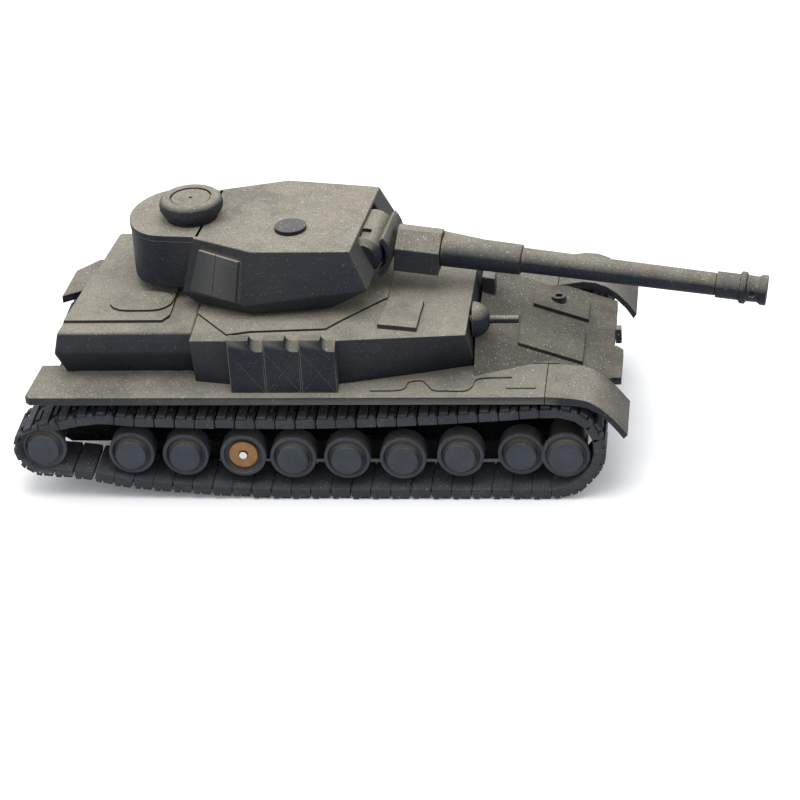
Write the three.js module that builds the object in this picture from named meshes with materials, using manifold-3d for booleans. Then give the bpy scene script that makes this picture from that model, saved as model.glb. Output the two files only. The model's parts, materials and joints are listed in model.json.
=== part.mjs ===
// Radio-controlled tank, hand-carved in wood and painted, about 1/16 scale.
// Millimetres, +Z up, +X towards the muzzle, +Y to the tank's left.
import * as THREE from "three";
import { mergeVertices } from "three/addons/utils/BufferGeometryUtils.js";
import { ConvexGeometry } from "three/addons/geometries/ConvexGeometry.js";
import Module from "manifold-3d";

const wasm = await Module();
wasm.setup();

// ---------------------------------------------------------------- driving dimensions
const GAP = 0.3;                  // clearance between separate pieces
const RUN_FIT = 0.35;             // radial play of everything that turns
const TOY_CENTRE_X = 35.05;       // middle of the whole length, hull tail to muzzle

const HULL_LENGTH = 370;          // along the fenders
const HULL_HALF_WIDTH = 94.2;     // to the fenders' outer edges
const TRACK_BAY = 42.2;           // from the tub's side to the fender's edge
const TUB_WALL = 4.5;
const BELLY_Z = 19.5;
const FENDER_TOP = 74.3;
const FENDER_THICK = 5.3;
const MUDGUARD_SEAM = 51;         // back from the fenders' front end
const GLACIS_SLOPE = 0.35;
const NOSE_EDGE_Z = 63;
const NOSE_BACK = 13;             // nose edge, back from the fenders' front end

const DECK_TOP = 106.4;           // roof of the superstructure and the engine deck
const DECK_REAR_BACK = 19;        // engine deck's tail, forward of the fenders' rear end
const DECK_LENGTH = 83.7;         // engine deck, from its tail to the superstructure
const SUPER_FRONT_BACK = 99;      // superstructure's front plate, back from the fenders' front end
const SUPER_INSET = 13.2;         // superstructure's roof, in from the fenders' edges
const SUPER_WALL = 8;

const ROD_R = 2.5;                // axle rods
const WHEEL_COUNT = 8;
const WHEEL_FIRST_AHEAD = 60.7;   // rearmost road wheel, forward of the fenders' rear end
const WHEEL_LAST_BACK = 67.6;     // foremost road wheel, back from the fenders' front end
const WHEEL_DRIFT = [0, -0.7, 0.8, -2.6, -3.6, -3.5, -2.5, 0];    // hand-drilled axle holes
const WHEEL_Z = [31.3, 29.9, 29.5, 28.1, 27.7, 27.4, 29.2, 28.2];
const WHEEL_R = 14.4;
const WHEEL_FACE_IN = 3.5;        // wheel faces, in from the belt's outer edge
const WHEEL_THICK = 13;
const RIM = 2.5;
const HUB_R = 9.5;
const LAST_INSET = 4;             // the foremost road wheel tucks in behind the drive wheel's flange
const HUB_PROUD = 3.6;
const DRIVE_BACK = 39.9;          // from the fenders' front end
const DRIVE_Z = 29.5;
const DRIVE_R = 15;
const IDLER_AHEAD = 5.8;          // from the fenders' rear end
const IDLER_Z = 35.3;
const IDLER_R = 14.2;
const IDLER_DRUM_R = 10.2;
const DRIVE_DRUM_R = 12.5;
const FLANGE = 3.7;

const TRACK_INSET = 2.7;          // belt's outer edge, in from the fender's edge
const TRACK_WIDTH = 34;
const LINK_COUNT = 64;
const LINK_THICK = 6.4;
const CLEAT = 2.1;

const RACE_R = 30;                // turret ring's spigot
const PLATE_TOP = 108;            // turret platform
const TURRET_BEHIND = 114;        // turret's axis, behind the superstructure's front plate
const TURRET_YAW = THREE.MathUtils.degToRad(-5.5);
const TURRET_BOTTOM = 111;
const TURRET_CHIN = 118;
const TURRET_KNEE = 127;
const TURRET_ROOF = 151;
const GUN_PIVOT_X = 50;           // ahead of the turret's axis
const GUN_PIVOT_Z = 135.7;
const GUN_DIP = THREE.MathUtils.degToRad(5.5);
const ROTOR_R = 12.2;
const ROTOR_HALF = 24;
const SHIELD_R = 18;
const SHIELD_THICK = 3.4;
const BLOCK_LENGTH = 28;
const BLOCK_SIZE = 26;
const SLEEVE_R = 10;
const SLEEVE_LENGTH = 50;
const BARREL_R = 7.3;
const BARREL_LENGTH = 170;        // block face to muzzle brake
const BRAKE_LENGTH = 31;
const BORE_R = 4;

const REAR_X = -HULL_LENGTH / 2;
const FRONT_X = HULL_LENGTH / 2;
const NOSE_X = FRONT_X - NOSE_BACK;
const FENDER_UNDER = FENDER_TOP - FENDER_THICK;
const DECK_TAIL_X = REAR_X + DECK_REAR_BACK;
const DECK_SPLIT_X = DECK_TAIL_X + DECK_LENGTH;
const SUPER_FRONT_X = FRONT_X - SUPER_FRONT_BACK;
const TURRET_X = SUPER_FRONT_X - TURRET_BEHIND;
const TUB_HALF_WIDTH = HULL_HALF_WIDTH - TRACK_BAY;
const GLACIS_HALF_WIDTH = TUB_HALF_WIDTH - 6;
const SUPER_HALF_WIDTH = HULL_HALF_WIDTH - SUPER_INSET;
const DECK_HALF_WIDTH = SUPER_HALF_WIDTH - 9;
const TRACK_OUTER_Y = HULL_HALF_WIDTH - TRACK_INSET;
const WHEEL_FACE_Y = TRACK_OUTER_Y - WHEEL_FACE_IN;
const DRIVE_X = FRONT_X - DRIVE_BACK;
const IDLER_X = REAR_X + IDLER_AHEAD;
const WHEEL_FIRST_X = REAR_X + WHEEL_FIRST_AHEAD;
const WHEEL_PITCH = (FRONT_X - WHEEL_LAST_BACK - WHEEL_FIRST_X) / (WHEEL_COUNT - 1);

// ---------------------------------------------------------------- solid making
const trianglesOf = (geometry) => {
  const bare = new THREE.BufferGeometry();
  bare.setAttribute("position", geometry.getAttribute("position").clone());
  if (geometry.index) {
    bare.setIndex(geometry.index.clone());
  }
  const welded = mergeVertices(bare, 1e-4);
  const index = welded.index.array;
  const kept = [];
  for (let i = 0; i < index.length; i += 3) {
    const [a, b, c] = [index[i], index[i + 1], index[i + 2]];
    if (a !== b && b !== c && c !== a) {
      kept.push(a, b, c);
    }
  }
  welded.setIndex(kept);
  return welded;
};

// Six times the signed volume, negative when the faces point in.
const signedVolume = (geometry) => {
  const position = geometry.getAttribute("position");
  const index = geometry.index.array;
  const [a, b, c] = [new THREE.Vector3(), new THREE.Vector3(), new THREE.Vector3()];
  let total = 0;
  for (let i = 0; i < index.length; i += 3) {
    a.fromBufferAttribute(position, index[i]);
    b.fromBufferAttribute(position, index[i + 1]);
    c.fromBufferAttribute(position, index[i + 2]);
    total += a.dot(b.cross(c));
  }
  return total;
};

const solid = (geometry) => {
  const welded = trianglesOf(geometry);
  if (signedVolume(welded) < 0) {
    const index = welded.index.array;
    for (let i = 0; i < index.length; i += 3) {
      [index[i + 1], index[i + 2]] = [index[i + 2], index[i + 1]];
    }
  }
  return welded;
};

const toManifold = (geometry) => {
  const body = solid(geometry);
  return new wasm.Manifold(new wasm.Mesh({
    numProp: 3,
    vertProperties: new Float32Array(body.getAttribute("position").array),
    triVerts: new Uint32Array(body.index.array),
  }));
};

const fromManifold = (manifold) => {
  const mesh = manifold.getMesh();
  const geometry = new THREE.BufferGeometry();
  geometry.setAttribute("position", new THREE.BufferAttribute(mesh.vertProperties, 3));
  geometry.setIndex(Array.from(mesh.triVerts));
  return geometry;
};

const fuse = (first, ...others) =>
  fromManifold(others.reduce((sum, next) => sum.add(toManifold(next)), toManifold(first)));

const cut = (first, ...others) =>
  fromManifold(others.reduce((rest, next) => rest.subtract(toManifold(next)), toManifold(first)));

const shapeOf = (points) => new THREE.Shape(points.map(([a, b]) => new THREE.Vector2(a, b)));

// Outline in XZ carried along Y, from y0 to y1.
const prismY = (outline, y0, y1) => {
  const geometry = new THREE.ExtrudeGeometry(shapeOf(outline), { depth: y1 - y0, bevelEnabled: false });
  return geometry.rotateX(Math.PI / 2).translate(0, y1, 0);
};

// Outline in XY carried up from z0 to z1.
const prismZ = (outline, z0, z1) => {
  const geometry = new THREE.ExtrudeGeometry(shapeOf(outline), { depth: z1 - z0, bevelEnabled: false });
  return geometry.translate(0, 0, z0);
};

// Outline in YZ carried along X, from x0 to x1.
const prismX = (outline, x0, x1) => {
  const geometry = new THREE.ExtrudeGeometry(shapeOf(outline), { depth: x1 - x0, bevelEnabled: false });
  const axes = new THREE.Matrix4().makeBasis(
    new THREE.Vector3(0, 1, 0), new THREE.Vector3(0, 0, 1), new THREE.Vector3(1, 0, 0));
  return geometry.applyMatrix4(axes).translate(x0, 0, 0);
};

const block = (x0, x1, y0, y1, z0, z1) =>
  new THREE.BoxGeometry(x1 - x0, y1 - y0, z1 - z0)
    .translate((x0 + x1) / 2, (y0 + y1) / 2, (z0 + z1) / 2);

const convex = (points) => new ConvexGeometry(points.map((p) => new THREE.Vector3(...p)));

// Profile of [radius, height] turned about an axis through the origin.
const turned = (profile, sides, axis) => {
  const geometry = new THREE.LatheGeometry(profile.map(([r, h]) => new THREE.Vector2(r, h)), sides);
  if (axis === "z") {
    geometry.rotateX(Math.PI / 2);
  }
  if (axis === "x") {
    geometry.rotateZ(-Math.PI / 2);
  }
  return geometry;
};

const pin = (radius, from, to, sides, axis) =>
  turned([[0, from], [radius, from], [radius, to], [0, to]], sides, axis);

// A polygon's points given for the left half, mirrored onto the right.
const bothSides = (half) => [...half.map(([x, y]) => [x, -y]), ...[...half].reverse()];

// ---------------------------------------------------------------- the tank and its paint
const tank = new THREE.Group();
const turret = new THREE.Group();
const gun = new THREE.Group();
tank.position.x = -TOY_CENTRE_X;
turret.position.set(TURRET_X, 0, 0);
turret.rotation.z = TURRET_YAW;
gun.position.set(GUN_PIVOT_X, 0, GUN_PIVOT_Z);
gun.rotation.y = GUN_DIP;
tank.add(turret);
turret.add(gun);

const finish = (color, roughness, metalness = 0) => ({ color, roughness, metalness });
const DUSTY = finish(0x4a4944, 0.9);
const DARK = finish(0x24262b, 0.75);
const RUBBER = finish(0x2a2c30, 0.85);
const CAP = finish(0x3c4046, 0.6);
const STEEL = finish(0xa6a49c, 0.35, 0.9);
const PACK = finish(0x2d4a7a, 0.5);
const BOARD = finish(0x1e5b38, 0.5);
const CASING = finish(0xb8b4aa, 0.45);

const piece = (name, geometry, paint, group = tank) => {
  const body = solid(geometry);
  body.computeVertexNormals();
  const mesh = new THREE.Mesh(body, new THREE.MeshStandardMaterial(paint));
  mesh.name = name;
  group.add(mesh);
  return mesh;
};

const SIDES = [{ name: "right", s: -1 }, { name: "left", s: 1 }];
const sorted = (a, b) => [Math.min(a, b), Math.max(a, b)];
const wheelX = (i) => WHEEL_FIRST_X + i * WHEEL_PITCH + WHEEL_DRIFT[i];
const WHEELS = Array.from({ length: WHEEL_COUNT }, (_, i) => i);

// ---------------------------------------------------------------- lower hull
const PLATE_DEPTH = 5.5;          // glacis board
const GLACIS_REAR_X = SUPER_FRONT_X + 3.2;
const glacisZ = (x) => NOSE_EDGE_Z + (NOSE_X - x) * GLACIS_SLOPE;
const boardEndX = NOSE_X - (FENDER_TOP - NOSE_EDGE_Z + PLATE_DEPTH) / GLACIS_SLOPE;
const coverHalf = { x: 55, y: TUB_HALF_WIDTH - 22 };
const switchAt = { x: WHEEL_FIRST_X + WHEEL_PITCH / 2, travel: 3, neck: 3, wide: 1.7 };

const makeTub = () => {
  const w = TUB_WALL;
  const inner = TUB_HALF_WIDTH - w;
  const tail = REAR_X + 0.5;
  const outline = [
    [DECK_TAIL_X, FENDER_TOP], [tail, 48], [tail, 30], [tail + 14, BELLY_Z],
    [NOSE_X - 20, BELLY_Z], [NOSE_X - 4, 41], [NOSE_X - 1, 51],
    [NOSE_X - 1, NOSE_EDGE_Z - PLATE_DEPTH - GAP], [boardEndX, FENDER_TOP],
  ];
  const inside = [
    [DECK_TAIL_X + w, FENDER_TOP + 1], [tail + w, 47], [tail + w, 32],
    [tail + 16, BELLY_Z + w], [NOSE_X - 22, BELLY_Z + w], [NOSE_X - 10, 43],
    [NOSE_X - w - 2, 51], [boardEndX - w, FENDER_TOP + 1],
  ];
  const across = (radius, x, z) =>
    pin(radius, -TUB_HALF_WIDTH - 1, TUB_HALF_WIDTH + 1, 10, "y").translate(x, 0, z);
  return cut(
    prismY(outline, -TUB_HALF_WIDTH, TUB_HALF_WIDTH),
    prismY(inside, -inner, inner),
    ...WHEELS.map((i) => across(ROD_R + GAP, wheelX(i), WHEEL_Z[i])),
    across(ROD_R + GAP, IDLER_X, IDLER_Z),
    across(ROD_R + RUN_FIT, DRIVE_X, DRIVE_Z),
    block(-coverHalf.x - GAP, coverHalf.x + GAP, -coverHalf.y - GAP, coverHalf.y + GAP,
      BELLY_Z - 1, BELLY_Z + w + 1),
    block(switchAt.x - switchAt.neck - switchAt.travel - GAP, switchAt.x + switchAt.neck + switchAt.travel + GAP,
      -switchAt.wide - GAP, switchAt.wide + GAP, BELLY_Z - 1, BELLY_Z + w + 1),
  );
};

const makeFender = (s) => {
  const inner = TUB_HALF_WIDTH + GAP;
  // The left tail turns in behind the tub, and its outer corner is cut back.
  const rightTail = [[REAR_X + 2, inner], [REAR_X - 1, HULL_HALF_WIDTH - 3], [REAR_X + 2, HULL_HALF_WIDTH]];
  const leftTail = [[REAR_X + 12, inner], [REAR_X - 4.5, inner - 11],
    [REAR_X - 2, HULL_HALF_WIDTH - 16], [REAR_X + 11, HULL_HALF_WIDTH]];
  const outline = [
    ...(s > 0 ? leftTail : rightTail),
    [FRONT_X - MUDGUARD_SEAM - GAP, HULL_HALF_WIDTH], [FRONT_X - MUDGUARD_SEAM - GAP, inner],
  ];
  return prismZ(outline.map(([x, y]) => [x, s * y]), FENDER_UNDER, FENDER_TOP);
};

// The top follows the fender, then rolls down over the drive wheel.
const mudguardTop = [[0, 0], [9, 0.4], [21, 1.8], [27, 3.6], [33, 7.7], [39, 13.3], [44.7, 20.2], [49.4, 26.5]];

// The left one is bent up in an arch.
const archedTop = [[0, 0], [9, -1.4], [16, -2.4], [24, -1.6], [31, 1.2], [38, 6.4], [44.5, 13.4], [50, 21.5]];

const makeMudguard = (s) => {
  const x0 = FRONT_X - MUDGUARD_SEAM;
  const line = s > 0 ? archedTop : mudguardTop;
  const top = line.map(([dx, drop]) => [x0 + dx, FENDER_TOP - drop]);
  const under = line.map(([dx, drop]) => [x0 + dx - drop * 0.1, FENDER_TOP - drop - FENDER_THICK + drop * 0.09]);
  const [y0, y1] = sorted(s * (TUB_HALF_WIDTH + GAP), s * HULL_HALF_WIDTH);
  return prismY([...top, ...under.reverse()], y0, y1);
};

const makeGlacis = () => {
  const rise = glacisZ(GLACIS_REAR_X);
  const footY = GLACIS_HALF_WIDTH + 22;
  const levelX = NOSE_X - (FENDER_TOP - NOSE_EDGE_Z) / GLACIS_SLOPE;
  const wedge = [
    [GLACIS_REAR_X, FENDER_TOP], [boardEndX, FENDER_TOP], [NOSE_X, NOSE_EDGE_Z - PLATE_DEPTH],
    [NOSE_X, NOSE_EDGE_Z], [GLACIS_REAR_X, rise],
  ];
  const toe = [
    [boardEndX, FENDER_TOP], [NOSE_X, NOSE_EDGE_Z - PLATE_DEPTH], [NOSE_X, NOSE_EDGE_Z], [levelX, FENDER_TOP],
  ];
  const skirt = (s) => convex([
    [GLACIS_REAR_X, s * footY, FENDER_TOP], [GLACIS_REAR_X, s * (GLACIS_HALF_WIDTH - 2), FENDER_TOP],
    [GLACIS_REAR_X, s * (GLACIS_HALF_WIDTH - 2), rise], [GLACIS_REAR_X, s * GLACIS_HALF_WIDTH, rise],
    [levelX, s * GLACIS_HALF_WIDTH, FENDER_TOP], [levelX, s * (GLACIS_HALF_WIDTH - 2), FENDER_TOP],
  ]);
  const toeHalf = TUB_HALF_WIDTH - GAP;
  const ledge = { y0: -50, y1: -9, reach: 6, depth: 5 };
  const lip = convex([NOSE_EDGE_Z - ledge.depth, NOSE_EDGE_Z].flatMap((z) => [
    [NOSE_X - 1, ledge.y0, z], [NOSE_X + ledge.reach, ledge.y0, z],
    [NOSE_X + ledge.reach, ledge.y1 - 5, z], [NOSE_X + 2, ledge.y1, z], [NOSE_X - 1, ledge.y1, z],
  ]));
  const whole = fuse(
    prismY(wedge, -GLACIS_HALF_WIDTH, GLACIS_HALF_WIDTH), prismY(toe, -toeHalf, toeHalf),
    skirt(1), skirt(-1), lip);
  // A pocket for the hull gun's dome.
  return cut(whole, new THREE.SphereGeometry(dome.r + RUN_FIT, 24, 12).rotateX(Math.PI / 2)
    .translate(dome.x, dome.y, dome.z));
};

// ---------------------------------------------------------------- upper hull
const dome = { x: SUPER_FRONT_X + 1.9, y: -44, z: DECK_TOP - 5.6, r: 11.1, dowel: 2.6, reach: 7 };

const deckRear = (y) => DECK_TAIL_X + 6.2 + y * 0.105;    // the tail edge is a little askew

const makeEngineDeck = () => {
  const levels = [[FENDER_TOP, DECK_HALF_WIDTH - 11, 0], [DECK_TOP - 14, DECK_HALF_WIDTH, -2.4],
    [DECK_TOP, DECK_HALF_WIDTH - 3, 0]];
  const front = DECK_SPLIT_X - GAP;
  const points = levels.flatMap(([z, half, back]) => [-half, half].flatMap((y) =>
    [[deckRear(y) + back, y, z], [front, y, z]]));
  const inner = TUB_HALF_WIDTH - TUB_WALL;
  return cut(convex(points),
    block(deckRear(inner) + SUPER_WALL, front - SUPER_WALL, -inner, inner, FENDER_TOP - 1, DECK_TOP - SUPER_WALL));
};

const makeSuperstructure = () => {
  const w = SUPER_HALF_WIDTH;
  const [kneeX, bendX] = [TURRET_X + 35, TURRET_X - 33];
  const around = (right, left) => [...right.map(([x, y]) => [x, -y]), ...left.reverse()];
  const foot = around(
    [[DECK_SPLIT_X, w - 7.6], [bendX, w - 3.5], [kneeX, w - 3.5], [SUPER_FRONT_X - 26, w - 18],
      [SUPER_FRONT_X + 2.8, w - 27]],
    [[DECK_SPLIT_X, w - 7.6], [bendX, w - 3.5], [kneeX, w - 3.5], [SUPER_FRONT_X - 36, w - 19],
      [SUPER_FRONT_X + 2.8, w - 33]]);
  const roof = around(
    [[DECK_SPLIT_X, w], [bendX, w], [kneeX + 2, w], [SUPER_FRONT_X - 26, w - 4.5], [SUPER_FRONT_X, w - 6.3]],
    [[DECK_SPLIT_X, w], [bendX, w], [kneeX + 2, w], [SUPER_FRONT_X - 38, w - 7], [SUPER_FRONT_X, w - 25]]);
  const inner = TUB_HALF_WIDTH - TUB_WALL;
  const shell = convex([...foot.map(([x, y]) => [x, y, FENDER_TOP]), ...roof.map(([x, y]) => [x, y, DECK_TOP])]);
  return cut(shell,
    block(DECK_SPLIT_X + SUPER_WALL, SUPER_FRONT_X - SUPER_WALL, -inner, inner,
      FENDER_TOP - 1, DECK_TOP - SUPER_WALL),
    pin(RACE_R + RUN_FIT, DECK_TOP - SUPER_WALL - 1, DECK_TOP + 1, 28, "z").translate(TURRET_X, 0, 0),
    pin(dome.dowel + RUN_FIT, -dome.reach - 0.5, 3, 12, "x").translate(dome.x, dome.y, dome.z));
};

const makePlatform = () => {
  const w = SUPER_HALF_WIDTH;
  const half = [[DECK_SPLIT_X + GAP, w - 34], [TURRET_X - 32, w - 6], [TURRET_X - 18, w - 10],
    [TURRET_X + 28, w - 13], [TURRET_X + 36, w - 23.5], [TURRET_X + 59.4, 30], [TURRET_X + 62.2, 27.5]];
  return cut(prismZ(bothSides(half), DECK_TOP, PLATE_TOP),
    pin(RACE_R + RUN_FIT, DECK_TOP - 1, PLATE_TOP + 1, 28, "z").translate(TURRET_X, 0, 0));
};

const makeOperatorHatch = () =>
  prismZ([[-54.5, 15.2 - SUPER_HALF_WIDTH], [-30, 10.2 - SUPER_HALF_WIDTH], [-28.6, -34.7], [-50.5, -29.5]]
    .map(([x, y]) => [SUPER_FRONT_X + x, y]), DECK_TOP, DECK_TOP + 3.1);

const panelTop = DECK_TOP + 2.1;
const makeDeckPanel = () => {
  const [x0, x1, y, r] = [DECK_SPLIT_X - 44.7, DECK_SPLIT_X - 29.7, -34, 12.5];
  const [outerY, innerY] = [15 - DECK_HALF_WIDTH, 12];
  const arc = (cx, from) => Array.from({ length: 9 }, (_, i) => {
    const a = from + (i * Math.PI) / 8;
    return [cx + r * Math.cos(a), y + r * Math.sin(a)];
  });
  return fuse(
    prismZ([[deckRear(outerY) + 1, outerY], [DECK_SPLIT_X - 20.7, outerY], [DECK_SPLIT_X - 16.7, outerY + 7],
      [DECK_SPLIT_X - 16.7, innerY], [deckRear(innerY) + 1, innerY]], DECK_TOP, panelTop),
    prismZ([...arc(x1, -Math.PI / 2), ...arc(x0, Math.PI / 2)], panelTop - 1, panelTop + 1.7));
};

// A board lying on the glacis.
const onGlacis = (x0, x1, y0, y1, thick) =>
  prismY([[x0, glacisZ(x0) + GAP], [x1, glacisZ(x1) + GAP],
    [x1, glacisZ(x1) + GAP + thick], [x0, glacisZ(x0) + GAP + thick]], y0, y1);

const makeVisor = () => {
  const [x0, x1] = [GLACIS_REAR_X + GAP, GLACIS_REAR_X + 8.3];
  return prismY([[x0, glacisZ(x0) + 1], [x1, glacisZ(x1) + 1], [x1, DECK_TOP - 5], [x0, DECK_TOP - 3.6]],
    9, 21);
};

const makeTransmissionHatch = () => {
  const knobX = NOSE_X - 35.7;
  const z = glacisZ(knobX);
  const knob = cut(pin(4.7, z + 2.1, z + 6.2, 20, "z"), pin(2.3, z + 3.6, z + 7, 12, "z"));
  return fuse(onGlacis(NOSE_X - 51, NOSE_X - 16.5, 10.5, 36, 2.4), knob.translate(knobX, 24.2, 0));
};

// Three cans in a row, each scooped out at its forward half.
const makeFuelCans = () => {
  const back = SUPER_HALF_WIDTH + 0.4;
  const can = { x0: TURRET_X - 30, x1: TURRET_X + 36, back, front: back + 7.2, top: DECK_TOP + 4.4 };
  const width = (can.x1 - can.x0) / 3;
  const scoop = [[-can.front - 1, can.top - 9], [-can.back + 1, can.top - 3.9], [-can.back + 1, can.top + 1],
    [-can.front - 1, can.top + 1]];
  const scoops = [0, 1, 2].map((i) =>
    prismX(scoop, can.x0 + (i + 0.6) * width, can.x0 + (i + 0.98) * width));
  return cut(block(can.x0, can.x1, -can.front, -can.back, FENDER_TOP + GAP, can.top), ...scoops);
};

// A dome on a dowel in the front plate, with a short gun.
const makeHullGun = () => {
  const gunR = 2.5;
  const bulge = Array.from({ length: 7 }, (_, i) => {
    const a = (i * (Math.PI / 2 - Math.asin(gunR / dome.r))) / 6;
    return [dome.r * Math.cos(a), dome.r * Math.sin(a)];
  });
  return turned([[0, -dome.reach], [dome.dowel, -dome.reach], [dome.dowel, 0], ...bulge,
    [gunR, 28.5], [0, 28.5]], 24, "x").translate(dome.x, dome.y, dome.z);
};

const makeTowHook = () => cut(
  block(NOSE_X + GAP, NOSE_X + 4, 7, 13, NOSE_EDGE_Z - 7, NOSE_EDGE_Z + 3),
  pin(1.1, 6, 14, 10, "y").translate(NOSE_X + 2.4, 0, NOSE_EDGE_Z));

// ---------------------------------------------------------------- running gear
// The belt's outer line, through the tops of its cleats, as points in XZ.
const trackLine = () => {
  const wrap = IDLER_DRUM_R + LINK_THICK + CLEAT + 0.4;
  const around = [255, 230, 200, 172, 146].map((degrees) => {
    const a = THREE.MathUtils.degToRad(degrees);
    return [IDLER_X + wrap * Math.cos(a), IDLER_Z + wrap * Math.sin(a)];
  });
  const nose = DRIVE_X + DRIVE_R + LINK_THICK + CLEAT + 1;
  const topFrom = IDLER_X + 29;
  const topTo = DRIVE_X - 10;
  const top = Array.from({ length: 9 }, (_, i) => {
    const t = i / 8;
    const z = FENDER_UNDER - 8 + 4.5 * t - 5 * Math.sin(Math.PI * t);
    return [topFrom + t * (topTo - topFrom), z];
  });
  const points = [
    [DRIVE_X - 9, 0], [wheelX(6), 0], [wheelX(4), 0], [wheelX(3) - 4, 0], [wheelX(2) - 5, 1.3],
    [wheelX(1), 3.8], [wheelX(0) + 10, 5.9], [wheelX(0) - 11, 9.2], [wheelX(0) - 30, 13.6],
    ...around, ...top,
    [nose - 20, FENDER_UNDER - 4.6], [nose - 9, FENDER_UNDER - 11], [nose - 2.4, FENDER_UNDER - 19],
    [nose, DRIVE_Z + 12], [nose, DRIVE_Z + 1], [nose - 2.6, DRIVE_Z - 8.5], [nose - 9.5, DRIVE_Z - 17.8],
    [nose - 19, DRIVE_Z - 26],
  ];
  const loop = new THREE.CatmullRomCurve3(
    points.map(([x, z]) => new THREE.Vector3(x, 0, z)), true, "centripetal");
  loop.arcLengthDivisions = 1200;
  return loop;
};

// A closed band between two loops in XZ, with four outer points to each inner one.
const beltSolid = (outer, inner, y0, y1) => {
  const position = [];
  const index = [];
  const ring = outer.length + inner.length;
  for (const y of [y0, y1]) {
    for (const [x, z] of [...outer, ...inner]) {
      position.push(x, y, z);
    }
  }
  const outerAt = (k) => k % outer.length;
  const innerAt = (k) => outer.length + (k % inner.length);
  const wall = (a, b) => index.push(a, b, b + ring, a, b + ring, a + ring);
  const cap = (a, b, c) => index.push(a, c, b, a + ring, b + ring, c + ring);
  for (let k = 0; k < outer.length; k += 1) {
    wall(outerAt(k), outerAt(k + 1));
    cap(innerAt(Math.floor(k / 4)), outerAt(k), outerAt(k + 1));
  }
  for (let k = 0; k < inner.length; k += 1) {
    wall(innerAt(k + 1), innerAt(k));
    cap(innerAt(k), outerAt(4 * (k + 1)), innerAt(k + 1));
  }
  const geometry = new THREE.BufferGeometry();
  geometry.setAttribute("position", new THREE.Float32BufferAttribute(position, 3));
  geometry.setIndex(index);
  return geometry;
};

const makeTrack = (s) => {
  const loop = trackLine();
  const at = (u, inset) => {
    const w = u % 1;
    const p = loop.getPointAt(w);
    const t = loop.getTangentAt(w);
    // The line runs rear-first along the ground, so inwards is to the right of its tangent.
    const q = [p.x + t.z * inset, p.z - t.x * inset];
    return [q[0], Math.max(q[1], inset)];
  };
  const outer = [];
  const inner = [];
  for (let i = 0; i < LINK_COUNT; i += 1) {
    const u = (f) => (i + f) / LINK_COUNT;
    outer.push(at(u(0.06), CLEAT), at(u(0.14), 0), at(u(0.72), 0), at(u(0.8), CLEAT));
    inner.push(at(u(0), CLEAT + LINK_THICK));
  }
  const [y0, y1] = sorted(s * TRACK_OUTER_Y, s * (TRACK_OUTER_Y - TRACK_WIDTH));
  const belt = beltSolid(outer, inner, y0, y1);
  const middle = s * (TRACK_OUTER_Y - TRACK_WIDTH / 2 - 3);
  const guide = block(wheelX(2), wheelX(7) - 17, middle - 5, middle + 5,
    LINK_THICK + CLEAT - 1, LINK_THICK + CLEAT + 4);
  const room = (radius, from, to, x, z) =>
    pin(radius + RUN_FIT, ...sorted(s * from, s * to), 24, "y").translate(x, 0, z);
  const flange = WHEEL_FACE_Y - FLANGE - GAP;
  return cut(fuse(belt, guide),
    room(IDLER_R, flange, TRACK_OUTER_Y + 1, IDLER_X, IDLER_Z),
    room(IDLER_DRUM_R, 0, TRACK_OUTER_Y, IDLER_X, IDLER_Z),
    room(DRIVE_R, flange, TRACK_OUTER_Y + 1, DRIVE_X, DRIVE_Z));
};

const bore = ROD_R + RUN_FIT;

// A cupped wheel with a round cap; h runs from the hull outwards.
const wheelProfile = (face) => [
  [0, face + HUB_PROUD], [HUB_R, face + HUB_PROUD], [HUB_R, face - 3],
  [WHEEL_R - RIM, face - 3], [WHEEL_R - RIM, face], [WHEEL_R, face],
  [WHEEL_R, face - WHEEL_THICK], [bore, face - WHEEL_THICK], [bore, face - 2], [0, face - 2],
];

// The wheel that has lost its cap shows its wooden disc and the axle's end.
const bareProfile = [
  [bore, WHEEL_FACE_Y - 1.5], [HUB_R - 0.6, WHEEL_FACE_Y - 1.5], [HUB_R - 0.6, WHEEL_FACE_Y - 4],
  [WHEEL_R - RIM, WHEEL_FACE_Y - 4], [WHEEL_R - RIM, WHEEL_FACE_Y], [WHEEL_R, WHEEL_FACE_Y],
  [WHEEL_R, WHEEL_FACE_Y - WHEEL_THICK], [bore, WHEEL_FACE_Y - WHEEL_THICK], [bore, WHEEL_FACE_Y - 1.5],
];

// End wheels carry the belt on a drum, inside a wider flange.
const drumProfile = (radius, hub, drum) => [
  [0, WHEEL_FACE_Y + HUB_PROUD], [hub, WHEEL_FACE_Y + HUB_PROUD], [hub, WHEEL_FACE_Y - 2],
  [radius - RIM, WHEEL_FACE_Y - 2], [radius - RIM, WHEEL_FACE_Y], [radius, WHEEL_FACE_Y],
  [radius, WHEEL_FACE_Y - FLANGE], [drum, WHEEL_FACE_Y - FLANGE],
  [drum, TUB_HALF_WIDTH + 6], [bore, TUB_HALF_WIDTH + 6],
  [bore, WHEEL_FACE_Y - FLANGE], [0, WHEEL_FACE_Y - FLANGE],
];

const turnedSide = (profile, sides, s) => turned(profile.map(([r, h]) => [r, s * h]), sides, "y");

const BARE_WHEEL = 2;
const faceOf = (i) => WHEEL_FACE_Y - (i === WHEEL_COUNT - 1 ? LAST_INSET : 0);
const SPINE = { half: 3, top: 33, bottom: 26 };

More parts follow.
